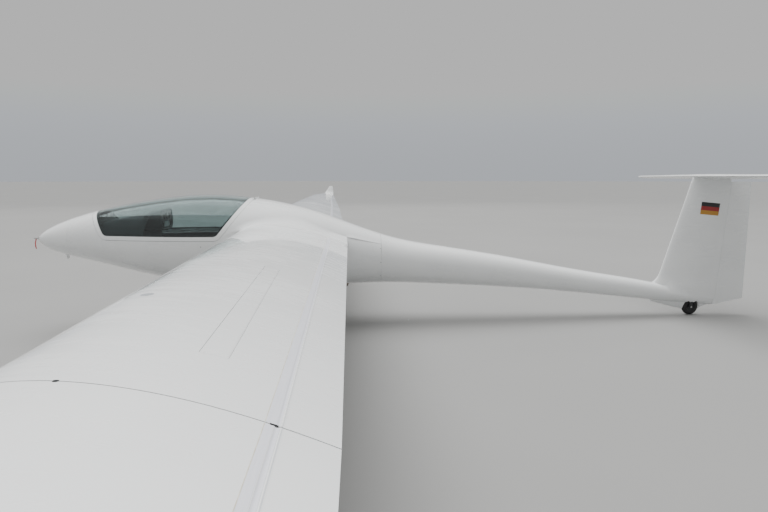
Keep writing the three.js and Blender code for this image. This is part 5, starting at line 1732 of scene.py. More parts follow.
def cushion(name, start, end, thickness, width, lines, cap=0.008, drop=0.0):
    """Cushion between two points of the seat's side view, its upper face on the line between them."""
    run = end - start
    length = np.linalg.norm(run)
    normal = np.array([-run[1], run[0]]) / length
    middle = (start + end) / 2 - normal * (thickness / 2 + drop)
    points, faces = swollen((length - 0.012, width - 0.012, thickness - 0.014), cap)
    points = channels(points, lines)
    origin = (middle[0], SEAT_Y, middle[1])
    for side, form in (("right", 1), ("left", -1)):
        shape = placed(points, origin, run, normal) * [1, form, 1], faces
        thing = piece(f"{name}_{side}", shape, "airframe", SEAT_CLOTH, sharp=180)
        smooth = thing.modifiers.new("smooth", "SUBSURF")
        smooth.levels = smooth.render_levels = 1


cushion("pan_cushion", PAN_FRONT, PAN_REAR, 0.050, 0.372, (-0.09, 0.0, 0.09))
cushion("back_cushion", PAN_REAR + [0.006, 0.020], BACK_TOP, 0.046, 0.360, (-0.21, -0.11, 0.0, 0.11, 0.20))
cushion("headrest", np.array([2.168, 1.218]), np.array([2.213, 1.310]), 0.046, 0.225, (0.0,), 0.006)

# %% Seat shells
side_path = np.array([
    (1.486, 0.656), (1.486, 0.668), (1.487, 0.680), (1.494, 0.688), (1.530, 0.686),
    (1.700, 0.664), (1.862, 0.645), (1.892, 0.6535), (1.918, 0.686), (1.990, 0.800),
    (2.100, 0.976), (2.206, 1.146), (2.222, 1.172), (2.224, 1.184),
])
along = np.linspace(0, 1, 70)
knots = np.linspace(0, 1, len(side_path))
shell_x, shell_z = np.interp(along, knots, side_path[:, 0]), np.interp(along, knots, side_path[:, 1])
for _ in range(3):
    shell_x[1:-1] = (shell_x[:-2] + 2 * shell_x[1:-1] + shell_x[2:]) / 4
    shell_z[1:-1] = (shell_z[:-2] + 2 * shell_z[1:-1] + shell_z[2:]) / 4
across = np.linspace(-1, 1, 41)[:, None]
ahead = unit(np.gradient(np.stack([shell_x, shell_z], axis=1), axis=0))
lift = 0.030 * np.abs(across) ** 5
room = np.minimum(0.205, inside_width(shell_x, shell_z, 0.028) - SEAT_Y)
wing_y = np.where(across > 0, room, 0.205) * across
shell, below = [
    xyz(shell_x - ahead[:, 1] * height, SEAT_Y + wing_y, shell_z + ahead[:, 0] * height)
    for height in (lift, lift - 0.006)
]
pair("seat_shell", plate(shell, below), "airframe", MOULDED, ["seat"])

# %% Harness
def strap(path, width=0.045, thick=0.0016):
    """Webbing along a path of (x, y, z): across it lies level, and its face is square to both."""
    path = along_curve(path, 50)
    ahead = np.gradient(path, axis=0)
    across = unit(np.cross(ahead, np.cross([0.0, 1.0, 0.0], ahead)))
    normal = unit(np.cross(ahead, across))
    share = np.linspace(-0.5, 0.5, 7)[:, None]
    top = path[:, None] + across[:, None] * share * width + normal[:, None] * thick * 0.5
    return plate(top, top - normal[:, None] * thick)


buckle = (1.790, SEAT_Y, 0.7350)
harness = []
for side in (-1, 1):
    shoulder = SEAT_Y + side * 0.085
    harness.append(strap([
        (2.205, shoulder, 1.205), (2.168, shoulder, 1.212), (2.050, SEAT_Y + side * 0.082, 1.036),
        (1.930, SEAT_Y + side * 0.070, 0.840), (1.862, SEAT_Y + side * 0.045, 0.757),
        (1.812, SEAT_Y + side * 0.022, 0.734),
    ]))
    harness.append(strap([
        (1.868, SEAT_Y + side * 0.190, 0.712), (1.850, SEAT_Y + side * 0.150, 0.730),
        (1.800, SEAT_Y + side * 0.030, 0.732),
    ]))
pair("harness", joined(*harness), "airframe", WEBBING)
release = joined(
    turned([(0.004, 0.0), (0.026, 0.0), (0.030, 0.003), (0.030, 0.010), (0.024, 0.014), (0.004, 0.014)], (0, 0, 0), 40, 2),
    prism(np.array([(-0.026, -0.005), (0.026, -0.005), (0.026, 0.005), (-0.026, 0.005)]), 2, 0.012, 0.019),
)
release = release[0] + buckle, release[1]
pair("harness_buckle", release, "airframe", BRIGHT)

# %% [markdown]
# ## Instruments and controls
#
# Between the pilots a slim console carries the instrument pod, which hides under a hood. A dial is
# a turned bezel round a flat face with its ticks and pointer as thin raised shapes, because a
# pattern drawn by nodes would lose its crisp edges once it is baked. The scales are generic.

# %% Console and pod
console_line = np.array([
    (1.062, 0.7175), (1.052, 0.760), (1.062, 0.900), (1.090, 1.090), (1.200, 1.104),
    (1.330, 1.119), (1.350, 1.000), (1.372, 0.900), (1.400, 0.860), (1.460, 0.832),
    (1.560, 0.801), (1.960, 0.780), (1.960, 0.6535), (1.250, 0.6535),
])
console = piece("console_body", prism(console_line, 1, -0.044, 0.044), "airframe", MOULDED, ["centre_console"])
bevelled(console, 0.008, 3)
pod_x = np.array([1.166, 1.172, 1.190, 1.230, 1.290, 1.350, 1.400, 1.411, 1.411, 1.404, 1.400])
pod_top = np.array([1.180, 1.215, 1.262, 1.308, 1.340, 1.352, 1.357, 1.357, 1.350, 1.344, 1.342])
pod_low = np.array([1.150, 1.140, 1.132, 1.127, 1.124, 1.123, 1.123, 1.123, 1.130, 1.136, 1.138])
pod_half = np.array([0.120, 0.160, 0.188, 0.206, 0.213, 0.214, 0.214, 0.214, 0.207, 0.201, 0.199])
a = bearings(80)
middle, tall = (pod_top + pod_low) / 2, (pod_top - pod_low) / 2
pod = np.stack([
    pod_x[:, None] + 0 * a,
    pod_half[:, None] * power(np.cos(a), 0.42),
    middle[:, None] + tall[:, None] * power(np.sin(a), 0.42),
], axis=-1)
pod_neck = prism(np.array([(1.112, 1.096), (1.328, 1.1215), (1.330, 1.150), (1.180, 1.150)]), 1, -0.055, 0.055)
piece("pod_hood", joined(loft(pod), pod_neck), "airframe", MOULDED, ["instrument_pod"])

# %% Dials
DIAL_WHITE = Finish("dial_paint", Base_Color=rgb(0.75, 0.76, 0.74), Roughness=0.5)
dial_age = DIAL_WHITE.noise(DIAL_WHITE.place(), 200.0)
DIAL_WHITE.feed(Base_Color=DIAL_WHITE.mix(dial_age, rgb(0.70, 0.71, 0.69), rgb(0.82, 0.82, 0.80)))
SCREEN = Finish("display_glass", Roughness=0.08, Coat_Weight=1.0)
# Faint lighter streaks on the dark display: painted glow of the screen.
painted_screen_glow = SCREEN.noise(SCREEN.stretched(SCREEN.place(), (1, 30, 8)), 4.0, 1.0)
SCREEN.feed(Base_Color=SCREEN.mix(painted_screen_glow, rgb(0.008, 0.010, 0.014), rgb(0.020, 0.030, 0.036)))
FACE_X = 1.400


def dial(y, z, radius, hand):
    """Bezel, and on its black face twelve ticks and one pointer, all looking aft."""
    bezel_line = [(-0.0035, 0.002), (0, 0.002), (0, 0.010), (-0.0015, 0.0118), (-0.0045, 0.0095)]
    bezel = turned(np.array(bezel_line) + [radius, 0], (FACE_X, y, z), 48, 0)
    near, far = radius - 0.012, radius - 0.006
    tick = np.array([(near, -0.0007), (far, -0.0007), (far, 0.0007), (near, 0.0007)])
    needle = np.array([(-0.006, -0.0013), (near, -0.0005), (near, 0.0005), (-0.006, 0.0013)])
    marks = []
    for angle in [*(np.arange(12) * np.pi / 6), hand]:
        outline = needle if angle is hand else tick
        turn = np.array([(np.cos(angle), np.sin(angle)), (-np.sin(angle), np.cos(angle))])
        marks.append(prism(outline @ turn + [y, z], 0, FACE_X + 0.0012, FACE_X + 0.0030))
    return bezel, joined(*marks)


layout = [(-0.145, 1.275, 0.041, 1.1), (-0.048, 1.275, 0.041, 2.4), (0.048, 1.275, 0.041, 0.4), (0.145, 1.275, 0.041, 4.0),
          (-0.150, 1.183, 0.030, 5.2), (0.150, 1.183, 0.030, 2.9)]
bezels, marks = zip(*(dial(*row) for row in layout))
screen_line = np.array([(-0.095, 1.152), (0.095, 1.152), (0.095, 1.216), (-0.095, 1.216)])
piece("dial_bezels", joined(*bezels), "airframe", BLACK)
piece("dial_marks", joined(*marks), "airframe", DIAL_WHITE)
screen = prism(screen_line, 0, FACE_X - 0.002, FACE_X + 0.006)
bevelled(piece("display_panel", screen, "airframe", SCREEN), 0.003)

# %% Sticks and pedals
gaiter_t = np.linspace(0, 1, 40)
gaiter = np.stack([
    0.036 - 0.022 * gaiter_t + 0.0022 * np.sin(gaiter_t * 12 * np.pi), 0.0535 * gaiter_t], axis=1)
gaiter = np.concatenate([gaiter, [[0.006, 0.0535], [0.006, 0.0]]])
grip_line = [(1.4065, 0.232, 0.884), (1.401, 0.232, 0.925), (1.396, 0.232, 0.960), (1.3925, 0.232, 0.9900)]
grip_path = along_curve(grip_line, 22)
grip_t = np.linspace(0, 1, 22)
grip_radius = 0.0145 + 0.0022 * np.cos(grip_t * 5 * np.pi) + 0.002 * grip_t
grip_radius[[0, -1]] -= 0.005
stick_line = [(1.430, 0.232, 0.660), (1.425, 0.232, 0.720), (1.415, 0.232, 0.810), (1.4045, 0.232, 0.905)]
stick = tube(stick_line, 0.0095, 20)
boot = turned(gaiter, (1.430, 0.232, 0.6535), 40, 2)
button_top = tube([(1.3925, 0.232, 0.9895), (1.392, 0.232, 0.9925), (1.3915, 0.232, 0.9950)], 0.006, 16)
pair("stick_tube", stick, "airframe", STEEL, ["control_stick"])
pair("stick_gaiter", boot, "airframe", LINING)
pair("stick_grip", tube(grip_path, grip_radius, 24), "airframe", MOULDED)
pair("stick_button", button_top, "airframe", BRIGHT)

pedal_base = float(floor_z(0.972)) + 0.001
pedal_parts = []
for y in (0.084, 0.166):
    pedal_parts.append(pillow((0.980, y, pedal_base + 0.130), (0.016, 0.068, 0.140), 8.0, 14, 40))
    pedal_parts.append(tube([(0.980, y, pedal_base + 0.008), (0.980, y, pedal_base + 0.05), (0.980, y, pedal_base + 0.1)], 0.008, 16))
pedal_parts.append(tube([(0.982, 0.052, pedal_base + 0.009), (0.982, 0.11, pedal_base + 0.009), (0.982, 0.19, pedal_base + 0.009)], 0.009, 16))
pair("pedal_set", joined(*pedal_parts), "airframe", STEEL, ["rudder_pedals"])
treads = []
for y in (0.084, 0.166):
    for k in range(5):
        z = pedal_base + 0.080 + 0.025 * k
        treads.append(tube([(0.9885, y - 0.028, z), (0.9885, y, z), (0.9885, y + 0.028, z)], 0.0022, 8))
pair("pedal_treads", joined(*treads), "airframe", TYRE)

# %% Levers on the console
lever_parts = []
knob_paints = {"blue": (0.02, 0.06, 0.22), "green": (0.02, 0.16, 0.05), "yellow": (0.60, 0.42, 0.03)}
levers = ((1.455, -0.024, 0.905, 0.03), (1.480, 0.022, 0.915, -0.02), (1.620, 0.0, 0.850, 0.02))
for (x, y, top, tilt), (colour, paint_rgb) in zip(levers, knob_paints.items()):
    foot_z = float(np.interp(x, console_line[8:12, 0], console_line[8:12, 1])) - 0.006
    path = [(x, y, foot_z), (x + tilt * 0.5, y, (foot_z + top) / 2), (x + tilt, y, top)]
    lever_parts.append(tube(path, 0.0045, 12))
    knob = pillow((x + tilt, y, top + 0.008), (0.024, 0.024, 0.030), 2.4, 14, 28)
    lighter = rgb(*(1.3 * np.array(paint_rgb)))
    piece(f"console_knob_{colour}", knob, "airframe", paint(f"{colour}_knob", rgb(*paint_rgb), lighter))
piece("console_levers", joined(*lever_parts), "airframe", BRIGHT)

# %% [markdown]
# ## Canopy fittings
#
# The canopy swings up about a rod behind the cabin. Two knuckles on its frame turn on the rod, and a
# third holds the rod to the body. Inside, a short handle on each side locks it.

# %% Hinge and handles
HINGE_X, HINGE_Z = 2.421, 1.475
hinge_bars = joined(
    tube([(HINGE_X, -0.148, HINGE_Z), (HINGE_X, 0, HINGE_Z), (HINGE_X, 0.148, HINGE_Z)], 0.004, 16),
    tube([(HINGE_X, -0.054, HINGE_Z), (HINGE_X, 0, HINGE_Z), (HINGE_X, 0.054, HINGE_Z)], 0.008, 20),
    block((HINGE_X, HINGE_X + 0.038), (-0.054, 0.054), (1.4635, 1.4715)),
)
piece("canopy_hinge_rod", hinge_bars, "airframe", WHITE)
knuckles = []
for side in (-1, 1):
    near, far = sorted((side * 0.061, side * 0.139))
    sleeve = [(0.0046, near), (0.0082, near), (0.0082, far), (0.0046, far)]
    knuckles.append(turned(sleeve, (HINGE_X, 0, HINGE_Z), 24))
    knuckles.append(block((HINGE_X - 0.034, HINGE_X - 0.004), (near, far), (1.4635, 1.4685)))
piece("canopy_hinge_knuckles", joined(*knuckles), "canopy", WHITE)
handle_angle = float(angle_at_height(np.array(1.500), np.array(1.064)))
base = body(1.500, handle_angle, 0.026)
handle_line = [
    base + [0.03, 0.004, 0.006], base + [0.0, -0.012, 0.006],
    base + [-0.05, -0.014, 0.004], base + [-0.085, -0.010, 0.0],
]
handle = tube(along_curve(handle_line, 20), 0.006, 14)
pair("canopy_handle", handle, "canopy", paint("white_handles", rgb(0.62, 0.62, 0.60), rgb(0.45, 0.45, 0.44)))

# %% [markdown]
# ## Fittings outside
#
# The pitot tube is a turned tube with a flange where it leaves the nose, and a red yaw ribbon hangs
# from it: a strip of cloth, bent where the air last left it. A blade aerial stands under the nose,
# and an exhaust pipe ends below the engine. The aerial is lofted from rounded slices, and the pipe
# is open, with a wall, so that one looks into it.

# %% Pitot tube and ribbon
NOSE_Z = 1.026
pitot_line = [
    (0.0034, -0.0600), (0.0048, -0.0600), (0.0060, -0.0570), (0.0060, -0.0500), (0.0056, -0.0495), (0.0056, -0.0480),
    (0.0060, -0.0475), (0.0060, -0.0150), (0.0115, -0.0138), (0.0122, -0.0130), (0.0165, 0.0125), (0.0150, 0.0140),
    (0.0034, 0.0140),
]
piece("pitot_turned", turned(pitot_line, (0, 0, NOSE_Z), 40, 0), "airframe", BRIGHT, ["pitot_tube"])

RIBBON = Finish("red_ribbon", Roughness=0.75, Sheen_Weight=0.3)
ribbon_place = RIBBON.place()
weft = RIBBON.noise(RIBBON.stretched(ribbon_place, (1, 1, 5)), 300.0, 2.0)
faded = RIBBON.noise(ribbon_place, 22.0, 3.0)
ribbon_tones = rgb(0.50, 0.012, 0.015), rgb(0.62, 0.040, 0.040)
RIBBON.feed(Base_Color=RIBBON.mix(RIBBON.ramp(faded, 0.35, 0.7), *ribbon_tones))
RIBBON.bump(weft, 0.0004, 0.6)
fall = np.linspace(0, 1, 46)[:, None]
ribbon_x = np.interp(fall, [0, 0.42, 0.5, 1], [-0.0435, -0.0560, -0.0562, -0.0495])
wide = np.linspace(0, 0.0116, 7)
sway = 0.0022 * np.sin(fall * 6.5) * fall + 0.0016 * np.sin(fall * 15 + wide * 300) * fall
ribbon_face = xyz(ribbon_x + wide, sway, 1.0197 - 0.112 * fall)
ribbon_shape = plate(ribbon_face, ribbon_face + [0, 0.0006, 0])
ribbon = piece("pitot_yaw_ribbon", ribbon_shape, "airframe", RIBBON, ["pitot_ribbon"])

# %% Aerial, exhaust and tie-down pads
aerial_rows = np.array([  # depth under the belly, leading edge, trailing edge, half thickness
    (-0.040, 0.2560, 0.3140, 0.0080), (0.000, 0.2640, 0.3132, 0.0126), (0.006, 0.2675, 0.3125, 0.0096),
    (0.024, 0.2740, 0.3115, 0.0088), (0.044, 0.2772, 0.3098, 0.0082), (0.056, 0.2790, 0.3085, 0.0070),
    (0.061, 0.2830, 0.3050, 0.0040), (0.0622, 0.2890, 0.2990, 0.0010),
])
around = bearings(48)
depth, front_edge, rear_edge, half = aerial_rows.T[:, :, None]
blade_x = (front_edge + rear_edge) / 2 - (rear_edge - front_edge) / 2 * np.cos(around)
blade_y = half * np.sin(around) * (0.72 + 0.28 * np.cos(around))
aerial = loft(np.stack([blade_x, blade_y, float(belly(0.274)) - depth + 0 * around], axis=-1))
piece("aerial_blade", aerial, "airframe", WHITE, ["belly_antenna"])

pipe_start, pipe_end = (3.420, -0.060, 0.430), (3.475, -0.060, 0.500)
pipe_line = [(0.0138, 0), (0.0152, 0), (0.016, 0.001), (0.016, 0.080), (0.0138, 0.080)]
pipe = spun(pipe_line, pipe_start, pipe_end, 40)
collar = spun([(0.0158, 0.032), (0.022, 0.034), (0.023, 0.038), (0.0158, 0.046)], pipe_start, pipe_end, 40)
HEATED = bare_metal("heated_steel", rgb(0.34, 0.29, 0.25), 0.45)
piece("exhaust_pipe", joined(pipe, collar), "airframe", HEATED, ["exhaust_stub"])

pad_z = float(wing_skin(-1, share_at(-1, 2.760, 4.900), 4.900)[..., 2])
pad_low = min(1.0822, pad_z - 0.003)
pad_line = [(0.0075, 0), (0.028, 0), (0.030, 0.002), (0.030, 0.020), (0.0075, 0.020)]
pair("tie_down_pad", spun(pad_line, (2.760, 4.900, pad_low), (2.760, 4.900, 1.2), 40), "airframe", WHITE)
print("tie-down pad", pad_z, pad_low)

# %% [markdown]
# ## Main landing gear
#
# Two legs hang from a welded tube frame across the belly. Each is a forged spring leg that tapers
# to a knuckle with the brake and the stub axle. A leg is lofted along a spline in the cross
# plane, with rounded slices square to it. The door is a patch of the body's own skin, swung
# down by a quarter turn, which is why its curve fits the belly. Tubes, collars and bolts are
# turned parts.

# %% Legs
GEAR_Z, PIVOT_Y, INBOARD = 0.600, 0.150, 0.512
leg_path = along_curve([(GEAR_X, 0.150, 0.600), (GEAR_X, 0.242, 0.509), (GEAR_X, 0.340, 0.402),
                        (GEAR_X, 0.418, 0.286), (GEAR_X, 0.462, 0.208), (GEAR_X, 0.482, 0.182)], 44)
leg_t = np.linspace(0, 1, 44)
leg_wide = np.interp(leg_t, [0, 0.5, 0.9, 1], [0.052, 0.045, 0.037, 0.034])
leg_thick = np.interp(leg_t, [0, 0.5, 0.85, 1], [0.018, 0.0165, 0.019, 0.024])
leg_ahead = np.gradient(leg_path, axis=0)
leg_ahead /= np.linalg.norm(leg_ahead, axis=1, keepdims=True)
leg_out = np.cross(leg_ahead, [1.0, 0, 0])
around = bearings(40)[:, None]
leg = loft(
    leg_path[:, None] + np.array([1.0, 0, 0]) * leg_wide[:, None, None] * power(np.cos(around), 0.5)
    + leg_out[:, None] * leg_thick[:, None, None] * power(np.sin(around), 0.5)
)
trunnion = spun([
    (0.012, 0), (0.030, 0), (0.034, 0.003), (0.034, 0.030), (0.031, 0.034), (0.031, 0.146), (0.034, 0.150), (0.034, 0.177),
    (0.030, 0.180), (0.012, 0.180),
], (GEAR_X - 0.090, PIVOT_Y, GEAR_Z), (GEAR_X + 0.090, PIVOT_Y, GEAR_Z), 48)
knuckle = spun([
    (0.010, 0), (0.036, 0), (0.044, 0.006), (0.044, 0.026), (0.040, 0.030), (0.040, 0.044), (0.010, 0.044),
], (GEAR_X, INBOARD - 0.062, AXLE_Z), (GEAR_X, INBOARD, AXLE_Z), 48)
jack_pad = block((GEAR_X - 0.030, GEAR_X + 0.030), (0.446, 0.478), (0.100, 0.160))
forged = pair("gear_leg_forged", joined(leg, trunnion, knuckle, jack_pad), "airframe", STEEL, ["gear_leg"])
for thing in forged:
    bevelled(thing, 0.003, 2)

disc = spun([(0.030, 0), (0.067, 0), (0.068, 0.001), (0.068, 0.005), (0.067, 0.006), (0.030, 0.006)],
            (GEAR_X, 0.493, AXLE_Z), (GEAR_X, 0.6, AXLE_Z), 64)
stub = spun([
    (1e-4, 0), (0.016, 0), (0.016, 0.118), (0.013, 0.119), (0.013, 0.129), (0.0115, 0.131), (1e-4, 0.131),
], (GEAR_X, 0.502, AXLE_Z), (GEAR_X, 0.6, AXLE_Z), 32)
a = np.arange(6) * np.pi / 3 + 0.2
nut = prism(np.stack([GEAR_X + 0.015 * np.cos(a), AXLE_Z + 0.015 * np.sin(a)], axis=1), 1, 0.6205, 0.6300)
pair("brake_disc_and_axle", joined(disc, stub, nut), "airframe", BRIGHT)
caliper = joined(
    pillow((GEAR_X + 0.058, 0.487, AXLE_Z + 0.034), (0.038, 0.030, 0.052), 6, 14, 32),
    spun(
        [(1e-4, 0), (0.013, 0), (0.014, 0.002), (0.014, 0.014), (1e-4, 0.014)],
        (GEAR_X + 0.058, 0.463, AXLE_Z + 0.034), (GEAR_X + 0.058, 0.5, AXLE_Z + 0.034),
    ),
)
pair("brake_caliper", caliper, "airframe", ALLOY)
pipe_path = leg_path[4:-3:4] + np.array([1.0, 0, 0]) * (leg_wide[4:-3:4, None] + 0.0035)
brake_pipe = [tube(along_curve([*pipe_path, (GEAR_X + 0.058, 0.470, AXLE_Z + 0.052)], 60), 0.0026, 10)]
for k in (9, 17, 25, 33):
    spot = leg_path[k] + [leg_wide[k], 0, 0]
    brake_pipe.append(pillow(spot, (0.014, 0.012, 0.012), 5, 10, 20))
pair("brake_pipe", joined(*brake_pipe), "airframe", BLACK)

# %% Doors
door_x, door_y = np.meshgrid(np.linspace(2.2055, 2.7345, 60), np.linspace(0.0475, 0.3795, 36), indexing="ij")
door_angle = angle_at_side(door_x, door_y)
flat_skin, flat_inner = body(door_x, door_angle), body(door_x, door_angle, 0.0095)
lowest = float(flat_skin[..., 2].min())


def hung(points):
    """A skin patch turned down a quarter about the fore-and-aft line at its inner edge."""
    x, y, z = np.moveaxis(np.asarray(points, float), -1, 0)
    return np.stack([x, z - lowest + 0.0453, lowest + 0.016 - (y - 0.047)], axis=-1)


door = plate(hung(flat_skin), hung(flat_inner))
for thing in pair("gear_door_panel", door, "airframe", WHITE, ["gear_door"]):
    bevelled(thing, 0.0015, 2)
rib_parts = []
for x in (2.290, 2.470, 2.650):
    rib_y = np.linspace(0.075, 0.350, 24)
    rib_x = np.array([x - 0.014, x - 0.010, x + 0.010, x + 0.014])[:, None]
    rib_base = body(rib_x, angle_at_side(rib_x, rib_y), 0.008)
    to_end = np.minimum(rib_y - 0.072, 0.353 - rib_y)
    rib_rise = np.array([0, 1, 1, 0])[:, None] * 0.014 * np.minimum(1, to_end / 0.02)
    rib_top = rib_base + np.stack([0 * rib_rise, 0 * rib_rise, rib_rise + 0.001], axis=-1)
    rib_parts.append(plate(hung(rib_top), hung(rib_base)))
pair("gear_door_ribs", joined(*rib_parts), "airframe", WHITE)
hinge_z = lowest + 0.019
door_hinge = [rod((x, 0.0505, hinge_z), (x + 0.078, 0.0505, hinge_z), 0.0042, 16) for x in np.arange(2.214, 2.70, 0.0855)]
door_hinge.append(rod((2.209, 0.0505, hinge_z), (2.731, 0.0505, hinge_z), 0.0022, 10))
pair("gear_door_hinge", joined(*door_hinge), "airframe", ALLOY)
push_rods = []
for x in (2.290, 2.650):
    eye, far = (x, 0.098, 0.330), (x, 0.195, 0.545)
    ends = [pillow(end, (0.018, 0.018, 0.018), 2.2, 12, 24) for end in (eye, far)]
    push_rods += [rod(eye, far, 0.0045, 14), *ends]
    push_rods.append(rod((x, 0.195, 0.545), (x, 0.195, 0.582), 0.006, 14))
pair("gear_door_rods", joined(*push_rods), "airframe", BRIGHT)

# %% Tube frame
frame_parts = []
for x in (2.355, 2.605, 3.080):
    reach = float(inside_width(x, GEAR_Z - 0.038, 0.0225))
    frame_parts += [rod((x, -reach, GEAR_Z), (x, reach, GEAR_Z), 0.026, 40)]
    for side in (-1, 1):
        end, near = side * (reach - 0.001), side * (reach - 0.010)
        frame_parts.append(rod((x, near, GEAR_Z), (x, end, GEAR_Z), 0.034, 40))
for side in (-1, 1):
    y = side * 0.232
    frame_parts.append(rod((2.355, y, GEAR_Z), (3.080, y, GEAR_Z), 0.022, 32))
    for x in (2.381, 2.579, 2.631, 3.054):
        toward = x + (0.1 if x in (2.381, 2.631) else -0.1)
        weld_line = [(0.021, 0), (0.0265, 0), (0.023, 0.006), (0.021, 0.008)]
        frame_parts.append(spun(weld_line, (x, y, GEAR_Z), (toward, y, GEAR_Z)))
    y = side * PIVOT_Y
    for low, high in ((2.355, 2.3897), (2.5703, 2.605)):
        frame_parts.append(rod((low, y, GEAR_Z), (high, y, GEAR_Z), 0.034, 40))
mount_line = [(2.641, -0.251), (3.059, -0.251), (3.059, 0.251), (2.641, 0.251)]
frame_parts.append(prism(mount_line, 2, 0.618, 0.6395))
bevelled(piece("gear_frame_welded", joined(*frame_parts), "airframe", STEEL, ["gear_frame"]), 0.0015, 2)

# %% [markdown]
# ## Engine
#
# The engine sits on the frame behind the cabin, out of sight but for a glimpse through the wheel
# wells: a flat four with finned cylinders, its silencer and its intake. Fins are one profile
# that goes in and out, turned once round the cylinder's axis.

# %% Engine
engine_parts, head_parts, pipe_parts = [], [], []
engine_parts.append(pillow((2.845, 0, 0.775), (0.300, 0.165, 0.190), 6, 20, 60))
engine_parts.append(pillow((2.684, 0, 0.815), (0.080, 0.150, 0.170), 5, 18, 48))
engine_parts.append(rod((3.000, 0, 0.775), (3.046, 0, 0.775), 0.060, 40))
engine_parts.append(rod((2.760, 0.070, 0.690), (2.760, 0.150, 0.690), 0.036, 32))
fin_count = 12
fin_line = [(0.030, 0.0)]
for k in range(fin_count):
    foot = 0.004 + k * 0.0078
    fin_line += [(0.040, foot), (0.0515, foot + 0.0006), (0.0515, foot + 0.0026), (0.040, foot + 0.0032)]
fin_line += [(0.040, 0.104), (0.030, 0.104)]
for side in (-1, 1):
    for x in (2.770 + 0.010 * side, 2.900 + 0.010 * side):
        engine_parts.append(spun(fin_line, (x, side * 0.080, 0.775), (x, side * 0.3, 0.775), 48))
        head_parts.append(pillow((x, side * 0.2045, 0.775), (0.108, 0.046, 0.104), 7, 18, 48))
        intake = [
            (x, side * 0.045, 0.930), (x, side * 0.110, 0.940),
            (x, side * 0.175, 0.905), (x, side * 0.198, 0.825),
        ]
        head_parts.append(tube(along_curve(intake, 30), 0.015, 20))
        outlet = [
            (x, side * 0.200, 0.735), (x + 0.01, side * 0.190, 0.690),
            (x + 0.06, side * 0.160, 0.672), (2.990, side * 0.120, 0.678),
        ]
        pipe_parts.append(tube(along_curve(outlet, 36), 0.0135, 20))
head_parts.append(pillow((2.840, 0, 0.930), (0.250, 0.110, 0.070), 5, 18, 48))
head_parts.append(rod((2.960, 0, 0.930), (3.030, 0, 0.930), 0.040, 32))
shell_line = [
    (1e-4, 0), (0.020, 0.001), (0.030, 0.007), (0.034, 0.018),
    (0.034, 0.302), (0.030, 0.313), (0.020, 0.319), (1e-4, 0.320),
]
pipe_parts.append(spun(shell_line, (3.018, -0.160, 0.690), (3.018, 0.160, 0.690), 48))
crank = piece("engine_crankcase", joined(*engine_parts), "airframe", ALLOY, ["engine_block"])
piece("engine_heads", joined(*head_parts), "airframe", BLACK)
piece("engine_silencer", joined(*pipe_parts), "airframe", HEATED)

# %% [markdown]
# ## Stripes on the fin
#
# Three plain bands of colour, black over red over gold, are painted high on the fin. Their tones are
# set darker than the paint itself: painted shade of the fin's side. The band is a patch of the fin's
# own skin, and its material turns the height of a point into a colour with a ramp that does not
# blend between its stops.

# %% Fin stripes
STRIPE_LOW, STRIPE_HIGH = 1.252, 1.402
STRIPE_MIDDLE, STRIPE_TILT = np.array([7.885, 1.327]), 0.095
STRIPES = Finish("stripes_with_painted_shade", Roughness=0.45, Coat_Weight=0.2, Coat_Roughness=0.1)
spot = STRIPES.node("ShaderNodeSeparateXYZ", {}, {"Vector": STRIPES.place()})
height = spot.out("Z") + (spot.out("X") - float(STRIPE_MIDDLE[0] - MIDDLE)) * STRIPE_TILT
level = STRIPES.ramp(height, STRIPE_LOW, STRIPE_HIGH)
bands = STRIPES.node("ShaderNodeValToRGB", {}, {"Fac": level})
bands.socket.node.color_ramp.interpolation = "CONSTANT"
stops = bands.socket.node.color_ramp.elements
stops.new(0.5)
# The flag's black, red and gold, set darker than the paint: painted shade of the fin's side.
tones = rgb(0.44, 0.215, 0.018), rgb(0.28, 0.008, 0.008), rgb(0.004, 0.004, 0.004)
for stop, place, tone in zip(stops, (0.0, 1 / 3, 2 / 3), tones):
    stop.position, stop.color = place, tone
fade = STRIPES.noise(STRIPES.place(), 12.0, 4.0)
STRIPES.feed(Base_Color=STRIPES.mix(STRIPES.ramp(fade, 0.4, 0.8, 0.0, 0.03), bands, rgb(0.20, 0.18, 0.17)))
flat_z = np.linspace(STRIPE_LOW, STRIPE_HIGH, 13)[:, None]
flat_x = np.linspace(7.766, 8.004, 20)
stripe_z = flat_z - STRIPE_TILT * (flat_x - STRIPE_MIDDLE[0])
stripe_x = flat_x + STRIPE_TILT * (flat_z - STRIPE_MIDDLE[1])
stripe_u = (stripe_x - fin_lead(stripe_z)) / (rudder_trail(stripe_z) - fin_lead(stripe_z))
patch = fin_skin(+1, stripe_u, stripe_z)
pair("fin_stripes", plate(patch + [0, 0.0003, 0], patch - [0, 0.0006, 0]), "airframe", STRIPES)

# %% [markdown]
# ## Stabilizer and elevator
#
# The stabilizer sits on top of the fin, out of the wing's wake. It is one blade of 3.1 m with rounded
# tips, and the elevator behind it is cut back in the middle so that the rudder can swing below.

# %% Stabilizer
TAIL = {"z": 1.708, "hinge": 8.060, "half": 1.550, "tilt": math.tan(math.radians(2.5))}


def tail_plan(y):
    """Leading and trailing edge: straight lines, drawn together at the tips by a quarter ellipse."""
    y = np.abs(y)
    out = np.clip((y - 0.93 * TAIL["half"]) / (0.07 * TAIL["half"]), 0, 1)
    pull = 1 - np.sqrt(np.maximum(1 - out**2, 0))
    lead = 7.660 + 0.120 * y / TAIL["half"] + 0.150 * pull
    trail = 8.250 - 0.100 * y / TAIL["half"] - 0.060 * pull
    return lead, trail


def tail_skin(side, u, y):
    u, y = np.broadcast_arrays(u, y)
    lead, trail = tail_plan(y)
    chord = trail - lead
    x = lead + chord * u
    z = TAIL["z"] + (TAIL["hinge"] - x) * TAIL["tilt"] + side * tail_section(u) * chord
    return np.stack([x, y, z], axis=-1)


